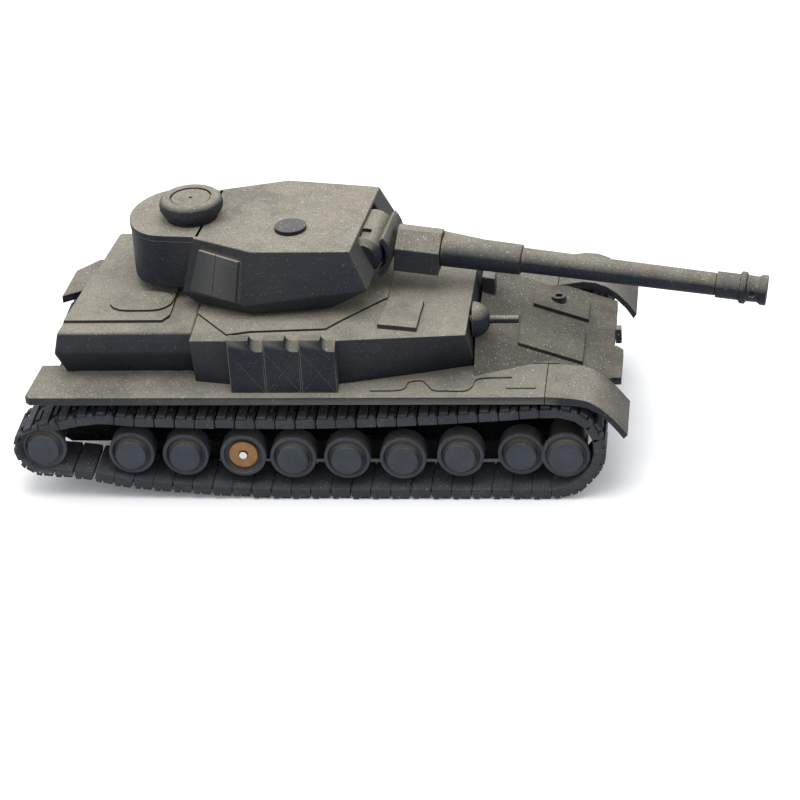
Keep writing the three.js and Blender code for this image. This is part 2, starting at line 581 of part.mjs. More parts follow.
const makeAxleRack = () => {
  const rods = WHEELS.map((i) => pin(ROD_R, -(i === BARE_WHEEL ? WHEEL_FACE_Y - 0.6 : faceOf(i) - 3),
    faceOf(i) - 3, 10, "y").translate(wheelX(i), 0, WHEEL_Z[i]));
  const rear = WHEEL_FACE_Y - FLANGE - 1;
  return fuse(
    block(IDLER_X + 14, wheelX(WHEEL_COUNT - 1) + 2, -SPINE.half, SPINE.half, SPINE.bottom, SPINE.top),
    block(IDLER_X, IDLER_X + 16, -SPINE.half, SPINE.half, SPINE.top - 0.5, IDLER_Z + 2),
    pin(ROD_R, -rear, rear, 10, "y").translate(IDLER_X, 0, IDLER_Z),
    ...rods);
};

const makeDriveShaft = (s) =>
  pin(ROD_R, ...sorted(s * 7, s * (WHEEL_FACE_Y - FLANGE - 1)), 12, "y").translate(DRIVE_X, 0, DRIVE_Z);

// ---------------------------------------------------------------- inside the hull
const makeGearmotor = (s) => {
  const outer = TUB_HALF_WIDTH - TUB_WALL - 9.5;
  const [y0, y1] = sorted(s * 6, s * outer);
  const floor = BELLY_Z + TUB_WALL + GAP;
  const can = 8;
  return fuse(
    cut(block(DRIVE_X - 18, DRIVE_X + 4.5, y0, y1, floor, floor + 21),
      pin(bore, y0 - 1, y1 + 1, 12, "y").translate(DRIVE_X, 0, DRIVE_Z)),
    pin(can, DRIVE_X - 52, DRIVE_X - 16, 16, "x").translate(0, (s * (outer + 6)) / 2, floor + 15));
};

const makeBattery = () => block(-38, 50, -26, 26, SPINE.top + GAP, SPINE.top + 29);

const makeBoard = () => {
  const z = SPINE.top + 2;
  return fuse(
    block(-118, -52, -24, 24, z, z + 1.6),
    block(-108, -90, -12, 12, z + 1, z + 7),
    block(-80, -60, -20, -2, z + 1, z + 10));
};

const makeSwitch = () => {
  const { x, neck, wide } = switchAt;
  const top = BELLY_Z + TUB_WALL;
  return fuse(
    block(x - neck, x + neck, -wide, wide, BELLY_Z - 2.5, top + 1),
    block(x - neck - 2, x + neck + 2, -wide - 2, wide + 2, top + GAP, SPINE.bottom - GAP));
};

const makeBellyCover = () =>
  block(-coverHalf.x, coverHalf.x, -coverHalf.y, coverHalf.y, BELLY_Z, BELLY_Z + TUB_WALL - 0.6);

// ---------------------------------------------------------------- turret, about its own axis
// The rear cheek runs straight from the chin up to the roof, between two slanting edges.
const cheekAt = (z) => {
  const t = (z - TURRET_CHIN) / (TURRET_ROOF - TURRET_CHIN);
  return { rear: [-60 + 7 * t, 44.5 - 10 * t], side: [-15.6 + 3.6 * t, 60 - 8.7 * t] };
};
const cheekHalf = (z, front) => [cheekAt(z).rear, cheekAt(z).side, front];
const turretLevels = [
  { z: TURRET_BOTTOM, half: [[-52, 44], [-14, 56.3], [33.6, 45]] },
  { z: TURRET_CHIN, half: cheekHalf(TURRET_CHIN, [41, 48]) },
  { z: TURRET_KNEE, half: cheekHalf(TURRET_KNEE, [59, 50]) },
  { z: TURRET_ROOF, half: cheekHalf(TURRET_ROOF, [48, 46]) },
];

const makeTurretShell = () => {
  const whole = convex(turretLevels.flatMap(({ z, half }) => bothSides(half).map(([x, y]) => [x, y, z])));
  const roomZ = TURRET_ROOF - 8;
  const room = prismZ(bothSides([[-42, 34], [-12, 42], [20, 36]]), TURRET_BOTTOM - 1, roomZ);
  const slot = block(GUN_PIVOT_X - ROTOR_R - 3, GUN_PIVOT_X + 30, -ROTOR_HALF - 1.5, ROTOR_HALF + 1.5,
    GUN_PIVOT_Z - SHIELD_R - 1, GUN_PIVOT_Z + ROTOR_R + 1);
  return cut(whole, room, slot);
};

const makeTurretRing = () => {
  const [top, foot] = [TURRET_BOTTOM - GAP, DECK_TOP - SUPER_WALL + 1];
  return turned([[RACE_R - 7, foot], [RACE_R, foot], [RACE_R, PLATE_TOP + GAP], [RACE_R + 8, PLATE_TOP + GAP],
    [RACE_R + 8, top], [RACE_R - 7, top], [RACE_R - 7, foot]], 28, "z");
};

const binLidZ = TURRET_ROOF - 3.8;
const binOutline = (grow) => [[-72, 33 + grow], [-86, 30.5 + grow], [-96, 21 + grow * 0.7], [-101.5 - grow, 8]];
const turretRearX = (z) => cheekAt(z).rear[0] - 0.5;

const binSolid = (z0, z1, growBottom, growTop) => convex([[z0, growBottom], [z1, growTop]].flatMap(([z, grow]) =>
  bothSides([[turretRearX(z), 33 + grow], ...binOutline(grow)]).map(([x, y]) => [x, y, z])));

const makeCupola = () => {
  const z = TURRET_ROOF;
  return turned([[0, z + GAP], [16, z + GAP], [17, z + 3.5], [20, z + 8], [20, z + 11.5], [17.6, z + 15],
    [15, z + 15], [14, z + 13.6], [0, z + 13.6]], 28, "z").translate(-60.6, -6, 0);
};

const makeRoofVent = () =>
  pin(10, TURRET_ROOF + GAP, TURRET_ROOF + 3, 20, "z").translate(5.3, -18.6, 0);

// Hatch leaves stand on the slanting rear cheek, between two heights.
const makeSideHatch = (s) => {
  const cheek = (along, z) => {
    const { rear, side } = cheekAt(z);
    return [rear[0] + along * (side[0] - rear[0]), rear[1] + along * (side[1] - rear[1])];
  };
  const out = [-0.31, 0.89, 0.31];
  const corners = [[0.15, 121], [0.87, 119.5], [0.84, 144], [0.18, 145.5]];
  return convex(corners.flatMap(([along, z]) => [1.2, 3.6].map((rise) => {
    const [x, y] = cheek(along, z);
    return [x + out[0] * rise, s * (y + out[1] * rise), z + out[2] * rise];
  })));
};

// ---------------------------------------------------------------- gun, about its trunnion
const BLOCK_X = SHIELD_R + GAP;
const BARREL_X = BLOCK_X + BLOCK_LENGTH + GAP;
const BRAKE_X = BARREL_X + BARREL_LENGTH;

const makeMantlet = () => {
  const rotor = turned([[0, -ROTOR_HALF], [8.5, -ROTOR_HALF], [ROTOR_R, -ROTOR_HALF + 4],
    [ROTOR_R, ROTOR_HALF - 4], [8.5, ROTOR_HALF], [0, ROTOR_HALF]], 20, "y");
  const arc = (r, from, to) => Array.from({ length: 9 }, (_, i) => {
    const a = THREE.MathUtils.degToRad(from + ((to - from) * i) / 8);
    return [r * Math.cos(a), r * Math.sin(a)];
  });
  const shield = prismY([...arc(SHIELD_R, -50, 48), ...arc(SHIELD_R - SHIELD_THICK, 48, -50)], -20, 20);
  const web = block(0, SHIELD_R - SHIELD_THICK + 1, -11, 11, -8, 8);
  const sight = block(-3, 3, -19, -7, ROTOR_R - 3, ROTOR_R + 2);
  return cut(fuse(rotor, shield, web), sight);
};

const makeGunBlock = () => {
  const h = BLOCK_SIZE / 2;
  const outline = [[-h, 1 - h], [h, 1 - h], [h, 3], [3.2, h], [-3.2, h], [-h, 3]];
  return cut(prismX(outline, BLOCK_X, BLOCK_X + BLOCK_LENGTH),
    pin(5 + GAP, BARREL_X - 16, BARREL_X + 1, 12, "x"));
};

const makeBarrel = () => turned([[0, BARREL_X - 15], [5, BARREL_X - 15], [5, BARREL_X],
  [SLEEVE_R, BARREL_X], [SLEEVE_R - 0.8, BARREL_X + SLEEVE_LENGTH - 0.6],
  [BARREL_R + 0.3, BARREL_X + SLEEVE_LENGTH], [BARREL_R - 0.3, BRAKE_X - GAP],
  [BORE_R - GAP, BRAKE_X - GAP], [BORE_R - GAP, BRAKE_X + 11], [0, BRAKE_X + 11]], 18, "x");

const makeBrake = () => {
  const outside = [[8.1, 0], [8.1, 14], [9.9, 15], [9.9, 18], [8.2, 19], [7.9, 25.5], [9.3, 27.5],
    [9.3, BRAKE_LENGTH]];
  const ring = [[BORE_R, 0], ...outside, [BORE_R, BRAKE_LENGTH], [BORE_R, 0]];
  return cut(turned(ring.map(([r, x]) => [r, BRAKE_X + x]), 24, "x"),
    pin(2.15, -12, 12, 10, "y").translate(BRAKE_X + 22.2, 0, 0));
};

// ---------------------------------------------------------------- assembly
piece("hull_tub", makeTub(), DARK);
piece("belly_cover", makeBellyCover(), DARK);
piece("engine_deck", makeEngineDeck(), DUSTY);
piece("superstructure", makeSuperstructure(), DUSTY);
piece("glacis", makeGlacis(), DUSTY);
piece("turret_platform", makePlatform(), DUSTY);
piece("engine_deck_panel", makeDeckPanel(), DUSTY);
piece("operator_hatch", makeOperatorHatch(), DUSTY);
piece("transmission_hatch", makeTransmissionHatch(), DUSTY);
piece("glacis_plate", onGlacis(NOSE_X - 57, NOSE_X - 17.5, 0.5 - GLACIS_HALF_WIDTH, -7, 2.4), DUSTY);
piece("driver_visor", makeVisor(), DUSTY);
piece("fuel_cans", makeFuelCans(), DUSTY);
piece("hull_gun", makeHullGun(), DARK);
piece("tow_hook", makeTowHook(), DARK);
piece("axle_rack", makeAxleRack(), STEEL);
piece("battery_pack", makeBattery(), PACK);
piece("control_board", makeBoard(), BOARD);
piece("power_switch", makeSwitch(), CASING);

for (const { name, s } of SIDES) {
  piece(`${name}_fender`, makeFender(s), DUSTY);
  piece(`${name}_mudguard`, makeMudguard(s), DUSTY);
  piece(`track_${name}`, makeTrack(s), RUBBER);
  for (const i of WHEELS) {
    const bare = s < 0 && i === BARE_WHEEL;
    const profile = bare ? bareProfile : wheelProfile(faceOf(i));
    piece(`wheel_${name}_${i + 1}`, turnedSide(profile, 14, s), CAP).position.set(wheelX(i), 0, WHEEL_Z[i]);
  }
  piece(`drive_wheel_${name}`, turnedSide(drumProfile(DRIVE_R, HUB_R + 1, DRIVE_DRUM_R), 20, s), CAP)
    .position.set(DRIVE_X, 0, DRIVE_Z);
  piece(`idler_${name}`, turnedSide(drumProfile(IDLER_R, HUB_R, IDLER_DRUM_R), 20, s), CAP).position.set(IDLER_X, 0, IDLER_Z);
  piece(`drive_shaft_${name}`, makeDriveShaft(s), STEEL);
  piece(`gearmotor_${name}`, makeGearmotor(s), CASING);
  piece(`side_hatch_${name}`, makeSideHatch(s), DUSTY, turret);
}

piece("turret_shell", makeTurretShell(), DUSTY, turret);
piece("turret_ring", makeTurretRing(), DARK, turret);
piece("turret_bin", binSolid(115, binLidZ - GAP, -2.4, -0.6), DARK, turret);
piece("bin_lid", binSolid(binLidZ, TURRET_ROOF, 0.3, 0), DUSTY, turret);
piece("cupola", makeCupola(), DUSTY, turret);
piece("roof_vent", makeRoofVent(), DARK, turret);
piece("mantlet", makeMantlet(), DUSTY, gun);
piece("gun_block", makeGunBlock(), DUSTY, gun);
piece("barrel", makeBarrel(), DARK, gun);
piece("muzzle_brake", makeBrake(), DARK, gun);

export default tank;
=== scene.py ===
"""Looks of a hand-carved, dusty radio-controlled model tank, built around its CAD frame.

Places are in metres in the frame's own axes: +X towards the muzzle, +Y to the tank's left, +Z up. Sizes
of pieces are worked out in millimetres and scaled by MM.
"""
import json
import math

import bmesh
import bpy
import numpy as np
from mathutils import Matrix, Vector


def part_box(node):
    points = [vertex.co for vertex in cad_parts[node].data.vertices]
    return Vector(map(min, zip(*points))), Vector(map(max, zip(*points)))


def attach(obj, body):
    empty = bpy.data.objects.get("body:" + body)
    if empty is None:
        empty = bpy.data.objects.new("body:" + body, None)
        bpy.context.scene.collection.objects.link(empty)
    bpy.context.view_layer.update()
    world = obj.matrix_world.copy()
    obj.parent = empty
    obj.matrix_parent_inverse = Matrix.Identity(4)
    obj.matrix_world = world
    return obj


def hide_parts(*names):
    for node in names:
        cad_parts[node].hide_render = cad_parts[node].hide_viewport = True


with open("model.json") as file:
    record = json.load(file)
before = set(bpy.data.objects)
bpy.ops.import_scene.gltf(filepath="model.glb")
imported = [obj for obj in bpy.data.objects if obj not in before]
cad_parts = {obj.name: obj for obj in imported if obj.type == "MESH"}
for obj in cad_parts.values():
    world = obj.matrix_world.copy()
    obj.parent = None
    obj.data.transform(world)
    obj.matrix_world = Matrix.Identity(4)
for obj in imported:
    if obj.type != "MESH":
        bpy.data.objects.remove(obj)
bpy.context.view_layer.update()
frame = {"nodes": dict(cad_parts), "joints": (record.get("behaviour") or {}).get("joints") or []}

bl_info = {
    "name": "Carved model tank",
    "version": (1, 0, 0),
    "blender": (4, 5, 0),
    "location": "View3D > Sidebar > Tank",
    "description": "Adds the fine pieces and finishes of a carved model tank around its frame",
    "category": "Add Mesh",
}

MM = 0.001
SIDES = {"right": -1, "left": 1}
JOINTS = {joint["name"]: joint for joint in frame["joints"]}

# Sizes of pieces, in millimetres.
EDGE = 0.5            # rounding of a carved edge
CAP_PROUD = 3.6       # a wheel's cap, out from its rim's face
CAP_FALL = 0.06       # how far a cap's crown has fallen where its rounding starts
ROAD_CAP_R = 9.5      # cap of a road wheel
ROD_HOLE_R = 2.85     # hole for an axle rod
RIM = 2.5             # width of a wheel's rim
FLANGE = 3.7          # thickness of an end wheel's flange
DRUM_INNER_Y = 58.0   # inner end of an end wheel's drum, from the middle plane
CORE_R = 8.9          # bare disc in the wheel without a cap
LINK_HALF = 17.0      # half the width of a link
LINK_DEPTH = 7.4      # thickness of a link, cleat included
SCOOP_DEPTH = 8.2     # a can's scoop, down from its top
SCOOP_RUN = 4.6       # length of the scoop's round part
SLEEVE_START = 15.0   # barrel's thick part, from the barrel's hidden end
SLEEVE_LENGTH = 50.0
TENON_LENGTH = 11.0   # thin end of the barrel, inside the muzzle brake
DOUBLED = 1e-6        # points closer than this, in metres, are one

LINKS = 64            # links in a track
LINK_STEPS = 24       # points along the belt's line for each link


# ------------------------------------------------------------------ places taken from the frame
def corners(node):
    """Lowest and highest corner of a node, as arrays."""
    low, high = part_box(node)
    return np.array(low), np.array(high)


def middle(node):
    """Centre of a node's box."""
    low, high = corners(node)
    return (low + high) / 2


def vertices(node):
    """A node's points."""
    data = frame["nodes"][node].data
    points = np.empty(len(data.vertices) * 3, np.float32)
    data.vertices.foreach_get("co", points)
    return points.reshape(-1, 3).astype(float)


def gun_axes():
    """Trunnion point and the gun's own axes: x along the bore, y along the trunnion, z up from both."""
    pivot = np.array(JOINTS["gun_elevation"]["pos_m"])
    along = middle("muzzle_brake") - pivot
    along /= np.linalg.norm(along)
    across = -np.array(JOINTS["gun_elevation"]["axis"])
    return pivot, np.array([along, across, np.cross(along, across)])


def turret_axes():
    """Foot of the turret's pivot on the ground plane, and the turret's own axes."""
    pivot = np.array(JOINTS["turret_traverse"]["pos_m"]) * (1, 1, 0)
    across = gun_axes()[1][1]
    return pivot, np.array([np.cross(across, (0, 0, 1)), across, (0.0, 0.0, 1.0)])


def placed(points, axes):
    """Points given in millimetres along a set of axes, in the frame."""
    origin, directions = axes
    return origin + MM * np.asarray(points, float) @ directions


# ------------------------------------------------------------------ surfaces from arrays
def grid_faces(rows, columns, close_rows=False, close_columns=False):
    """Quads of a grid of rows x columns points; a closed direction joins its last line to its first."""
    r = np.arange(rows if close_rows else rows - 1)
    c = np.arange(columns if close_columns else columns - 1)
    r, c = np.meshgrid(r, c, indexing="ij")
    r, c = r.ravel(), c.ravel()
    up, right = (r + 1) % rows, (c + 1) % columns
    return np.stack([r * columns + c, r * columns + right, up * columns + right, up * columns + c], axis=1)


def tidy_mesh(mesh):
    """Joins doubled points at poles and seams, and turns every face outwards."""
    work = bmesh.new()
    work.from_mesh(mesh)
    bmesh.ops.remove_doubles(work, verts=work.verts, dist=DOUBLED)
    bmesh.ops.recalc_face_normals(work, faces=work.faces)
    work.to_mesh(mesh)
    work.free()


def new_piece(name, points, faces, finish, body, slot, stands_for=(), sharp=35):
    """A closed piece from points and faces with a named finish, riding on a body. The slot argument is not
    used.
    """
    mesh = bpy.data.meshes.new(name)
    mesh.from_pydata(np.asarray(points).tolist(), [], [list(map(int, face)) for face in faces])
    tidy_mesh(mesh)
    mesh.polygons.foreach_set("use_smooth", np.ones(len(mesh.polygons), bool))
    mesh.set_sharp_from_angle(angle=math.radians(sharp))
    mesh.materials.append(finish_named(finish))
    piece = bpy.data.objects.new(name, mesh)
    bpy.context.scene.collection.objects.link(piece)
    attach(piece, body)
    if stands_for:
        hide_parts(*stands_for)
    return piece


def bevel(piece, width, segments=3, angle=30):
    """Rounds a piece's edges by width, in millimetres."""
    modifier = piece.modifiers.new("edges", "BEVEL")
    modifier.width = width * MM
    modifier.segments = segments
    modifier.limit_method = "ANGLE"
    modifier.angle_limit = math.radians(angle)
    modifier.harden_normals = True
    return piece


def bake_modifiers(piece):
    """Turns a piece's modifiers into its mesh."""
    graph = bpy.context.evaluated_depsgraph_get()
    mesh = bpy.data.meshes.new_from_object(piece.evaluated_get(graph))
    piece.modifiers.clear()
    if "custom_normal" in mesh.attributes:
        mesh.attributes.remove(mesh.attributes["custom_normal"])
    mesh.set_sharp_from_angle(angle=math.radians(35))
    old = piece.data
    piece.data = mesh
    bpy.data.meshes.remove(old)


def engrave(piece, points, faces):
    """Cuts a closed shape out of a piece."""
    mesh = bpy.data.meshes.new("cutter")
    mesh.from_pydata(np.asarray(points).tolist(), [], [list(map(int, face)) for face in faces])
    tidy_mesh(mesh)
    cutter = bpy.data.objects.new("cutter", mesh)
    bpy.context.scene.collection.objects.link(cutter)
    modifier = piece.modifiers.new("groove", "BOOLEAN")
    modifier.object = cutter
    modifier.solver = "EXACT"
    modifier.use_self = True
    bpy.context.view_layer.update()
    bake_modifiers(piece)
    bpy.data.objects.remove(cutter)
    bpy.data.meshes.remove(mesh)


def even_shading(piece):
    """Lets a piece's large faces decide its shading, so that they look flat next to rounded edges."""
    piece.modifiers.new("shading", "WEIGHTED_NORMAL").keep_sharp = True


def softened(profile, radius, steps=4):
    """A profile with its corners rounded: each corner point becomes a short quadratic arc between the
    points a radius before and after it, or a third of the neighbouring stretch where that is shorter."""
    p = np.asarray(profile, float)
    before, after = p[:-2] - p[1:-1], p[2:] - p[1:-1]
    reach = [np.linalg.norm(v, axis=1, keepdims=True) for v in (before, after)]
    start = p[1:-1] + before * np.minimum(radius / reach[0], 0.33)
    end = p[1:-1] + after * np.minimum(radius / reach[1], 0.33)
    t = np.linspace(0, 1, steps + 1)[None, :, None]
    arcs = (1 - t) ** 2 * start[:, None] + 2 * t * (1 - t) * p[1:-1][:, None] + t ** 2 * end[:, None]
    return np.vstack([p[:1], arcs.reshape(-1, 2), p[-1:]])


def lathe(profile, axes, steps=72):
    """A profile of (radius, height) turned about the third axis: x = r cos a, y = r sin a, z = h."""
    a = np.linspace(0, 2 * np.pi, steps, endpoint=False)
    r, h = np.asarray(profile, float).T
    points = np.stack([np.outer(r, np.cos(a)), np.outer(r, np.sin(a)), np.outer(h, np.ones(steps))], axis=2)
    closed = bool(np.allclose(profile[0], profile[-1]))
    if closed:
        points = points[:-1]
    faces = grid_faces(len(points), steps, close_rows=closed, close_columns=True)
    return placed(points.reshape(-1, 3), axes), faces


def turned_axes(origin, direction):
    """Axes whose third one is the direction that a lathe turns about."""
    z = np.asarray(direction, float)
    x = np.cross((0, 0, 1), z) if abs(z[2]) < 0.9 else np.array([1.0, 0, 0])
    x = x / np.linalg.norm(x)
    return np.asarray(origin, float), np.array([x, np.cross(z, x), z])


def standing(node):
    """Axes at the middle of a node's underside, for a lathe that turns about the upward direction."""
    return turned_axes(middle(node) * (1, 1, 0) + np.array([0, 0, corners(node)[0][2]]), (0, 0, 1))


def smooth_line(points, count, closed=False):
    """A curve through the points, centripetal Catmull-Rom: each stretch is a cubic whose end slopes come
    from its neighbours, weighed by the square root of their distances, then spaced evenly by length."""
    p = np.asarray(points, float)
    if closed:
        p = np.vstack([p[-1:], p, p[:2]])
    else:
        p = np.vstack([2 * p[0] - p[1], p, 2 * p[-1] - p[-2]])
    p0, p1, p2, p3 = p[:-3], p[1:-2], p[2:-1], p[3:]
    d0, d1, d2 = (np.linalg.norm(b - a, axis=1, keepdims=True) ** 0.5
                  for a, b in ((p0, p1), (p1, p2), (p2, p3)))
    m1 = ((p1 - p0) / d0 - (p2 - p0) / (d0 + d1) + (p2 - p1) / d1) * d1
    m2 = ((p2 - p1) / d1 - (p3 - p1) / (d1 + d2) + (p3 - p2) / d2) * d1
    t = np.linspace(0, 1, 40, endpoint=False)[None, :, None]
    curve = (2 * t ** 3 - 3 * t ** 2 + 1) * p1[:, None] + (t ** 3 - 2 * t ** 2 + t) * m1[:, None]
    curve += (3 * t ** 2 - 2 * t ** 3) * p2[:, None] + (t ** 3 - t ** 2) * m2[:, None]
    curve = np.vstack([curve.reshape(-1, p.shape[1]), p2[-1:]])
    length = np.concatenate([[0], np.cumsum(np.linalg.norm(np.diff(curve, axis=0), axis=1))])
    even = np.linspace(0, length[-1], count, endpoint=not closed)
    return np.stack([np.interp(even, length, c) for c in curve.T], axis=1)


def tube(path, radius, steps=12):
    """A round section carried along a path that lies nearly level: the section's axes are the level
    normal of the path and the upward direction. Its ends close on their centres."""
    path = np.asarray(path, float)
    ahead = np.gradient(path, axis=0)
    side = np.cross(ahead, (0, 0, 1))
    side /= np.linalg.norm(side, axis=1, keepdims=True)
    a = np.linspace(0, 2 * np.pi, steps, endpoint=False)
    r = np.broadcast_to(radius, len(path))[:, None, None]
    rings = path[:, None] + r * (np.cos(a)[None, :, None] * side[:, None]
                                 + np.sin(a)[None, :, None] * np.array([0, 0, 1.0]))
    ends = [np.repeat(path[:1][:, None], steps, axis=1), np.repeat(path[-1:][:, None], steps, axis=1)]
    rings = np.concatenate([ends[0], rings, ends[1]])
    return rings.reshape(-1, 3), grid_faces(len(rings), steps, close_columns=True)


def prism(outline, levels, axes):
    """An outline lofted through levels: each level is (height, growth), growth pushing the outline out
    along its normals. Flat caps close it."""
    line = np.asarray(outline, float)
    slope = np.roll(line, -1, axis=0) - np.roll(line, 1, axis=0)
    normal = np.stack([slope[:, 1], -slope[:, 0]], axis=1)
    normal /= np.linalg.norm(normal, axis=1, keepdims=True)
    rings = [np.column_stack([line + normal * grow, np.full(len(line), z)]) for z, grow in levels]
    n = len(line)
    faces = grid_faces(len(rings), n, close_columns=True).tolist()
    faces += [list(range(n))[::-1], list(range((len(rings) - 1) * n, len(rings) * n))]
    return placed(np.vstack(rings), axes), faces


def slab(low, high, axes=(np.zeros(3), np.eye(3))):
    """A block between two corners, in millimetres along the axes."""
    x, y, z = np.meshgrid(*zip(low, high), indexing="ij")
    points = np.stack([x.ravel(), y.ravel(), z.ravel()], axis=1)
    faces = [[0, 1, 3, 2], [4, 6, 7, 5], [0, 4, 5, 1], [2, 3, 7, 6], [0, 2, 6, 4], [1, 5, 7, 3]]
    return placed(points, axes), faces


def carved(node, finish, width, body="hull", slot="painted_wood"):
    """A CAD node's shape with its doubled points joined, flat faces merged and edges rounded."""
    work = bmesh.new()
    work.from_mesh(frame["nodes"][node].data)
    bmesh.ops.remove_doubles(work, verts=work.verts, dist=DOUBLED)
    bmesh.ops.dissolve_limit(work, angle_limit=math.radians(0.6), verts=work.verts, edges=work.edges)
    points = [tuple(v.co) for v in work.verts]
    work.verts.index_update()
    faces = [[v.index for v in face.verts] for face in work.faces]
    work.free()
    piece = new_piece(f"{node}_carved", points, faces, finish, body, slot, (node,), sharp=28)
    return bevel(piece, width, angle=28)


# ------------------------------------------------------------------ finishes
def scaled(colour, by):
    """A colour with its channels multiplied by one number, or each by its own."""
    return tuple(c * k for c, k in zip(colour, by if isinstance(by, tuple) else (by,) * 3))


class Finish:
    """Builds one procedural material from small steps; every pattern reads Object coordinates."""

    def __init__(self, name):
        self.material = bpy.data.materials.new(name)
        self.material.use_nodes = True
        self.nodes = self.material.node_tree.nodes
        self.links = self.material.node_tree.links
        self.shader = self.nodes["Principled BSDF"]
        self.place = self.nodes.new("ShaderNodeTexCoord").outputs["Object"]

    def noise(self, scale, detail=4.0, rough=0.6, stretch=(1, 1, 1)):
        """Fractal noise from 0 to 1, stretched by a mapping."""
        mapping = self.nodes.new("ShaderNodeMapping")
        mapping.inputs["Scale"].default_value = stretch
        self.links.new(self.place, mapping.inputs["Vector"])
        node = self.nodes.new("ShaderNodeTexNoise")
        node.inputs["Scale"].default_value = scale
        node.inputs["Detail"].default_value = detail
        node.inputs["Roughness"].default_value = rough
        self.links.new(mapping.outputs[0], node.inputs["Vector"])
        return node.outputs["Fac"]

    def spread(self, value, low, high, to_low=0.0, to_high=1.0):
        """A value's stretch from low to high, spread over another stretch and held at its ends."""
        node = self.nodes.new("ShaderNodeMapRange")
        self.links.new(value, node.inputs["Value"])
        for key, number in zip(("From Min", "From Max", "To Min", "To Max"), (low, high, to_low, to_high)):
            node.inputs[key].default_value = number
        return node.outputs["Result"]

    def maths(self, operation, a, b):
        """One sum on two values, each a socket or a number, held between 0 and 1."""
        node = self.nodes.new("ShaderNodeMath")
        node.operation = operation
        node.use_clamp = True
        for socket, value in zip(node.inputs, (a, b)):
            if isinstance(value, (int, float)):
                socket.default_value = value
            else:
                self.links.new(value, socket)
        return node.outputs[0]

    def mix(self, share, a, b):
        """Colour a turning into colour b as share goes from 0 to 1."""
        node = self.nodes.new("ShaderNodeMix")
        node.data_type = "RGBA"
        self.links.new(share, node.inputs["Factor"])
        for socket, value in zip((node.inputs[6], node.inputs[7]), (a, b)):
            if isinstance(value, (tuple, list)):
                socket.default_value = (*value[:3], 1)
            else:
                self.links.new(value, socket)
        return node.outputs[2]

    def upward(self, low, high):
        """How much a surface faces up, from 0 at low to 1 at high."""
        normal = self.nodes.new("ShaderNodeNewGeometry").outputs["Normal"]
        parts = self.nodes.new("ShaderNodeSeparateXYZ")
        self.links.new(normal, parts.inputs[0])
        return self.spread(parts.outputs["Z"], low, high)

    def edges(self, low, high):
        """Convex edges, from 0 on flats to 1 on worn corners."""
        point = self.nodes.new("ShaderNodeNewGeometry").outputs["Pointiness"]
        return self.spread(point, low, high)

    def corners_dust(self, reach):
        """Hollows and inner corners within reach, in millimetres: 1 deep in them, 0 in the open."""
        node = self.nodes.new("ShaderNodeAmbientOcclusion")
        node.samples = 6
        node.inputs["Distance"].default_value = reach * MM
        return self.spread(node.outputs["AO"], 0.95, 0.45)

    def colour(self, value):
        """The shader's base colour."""
        self.links.new(value, self.shader.inputs["Base Color"])

    def rough(self, value):
        """The shader's roughness, from a socket."""
        self.links.new(value, self.shader.inputs["Roughness"])

    def bumps(self, layers):
        """Stacks bumps: (height, strength, depth in millimetres) each."""
        last = None
        for height, strength, depth in layers:
            node = self.nodes.new("ShaderNodeBump")
            node.inputs["Strength"].default_value = strength
            node.inputs["Distance"].default_value = depth * MM
            self.links.new(height, node.inputs["Height"])
            if last is not None:
                self.links.new(last, node.inputs["Normal"])
            last = node.outputs[0]
        self.links.new(last, self.shader.inputs["Normal"])


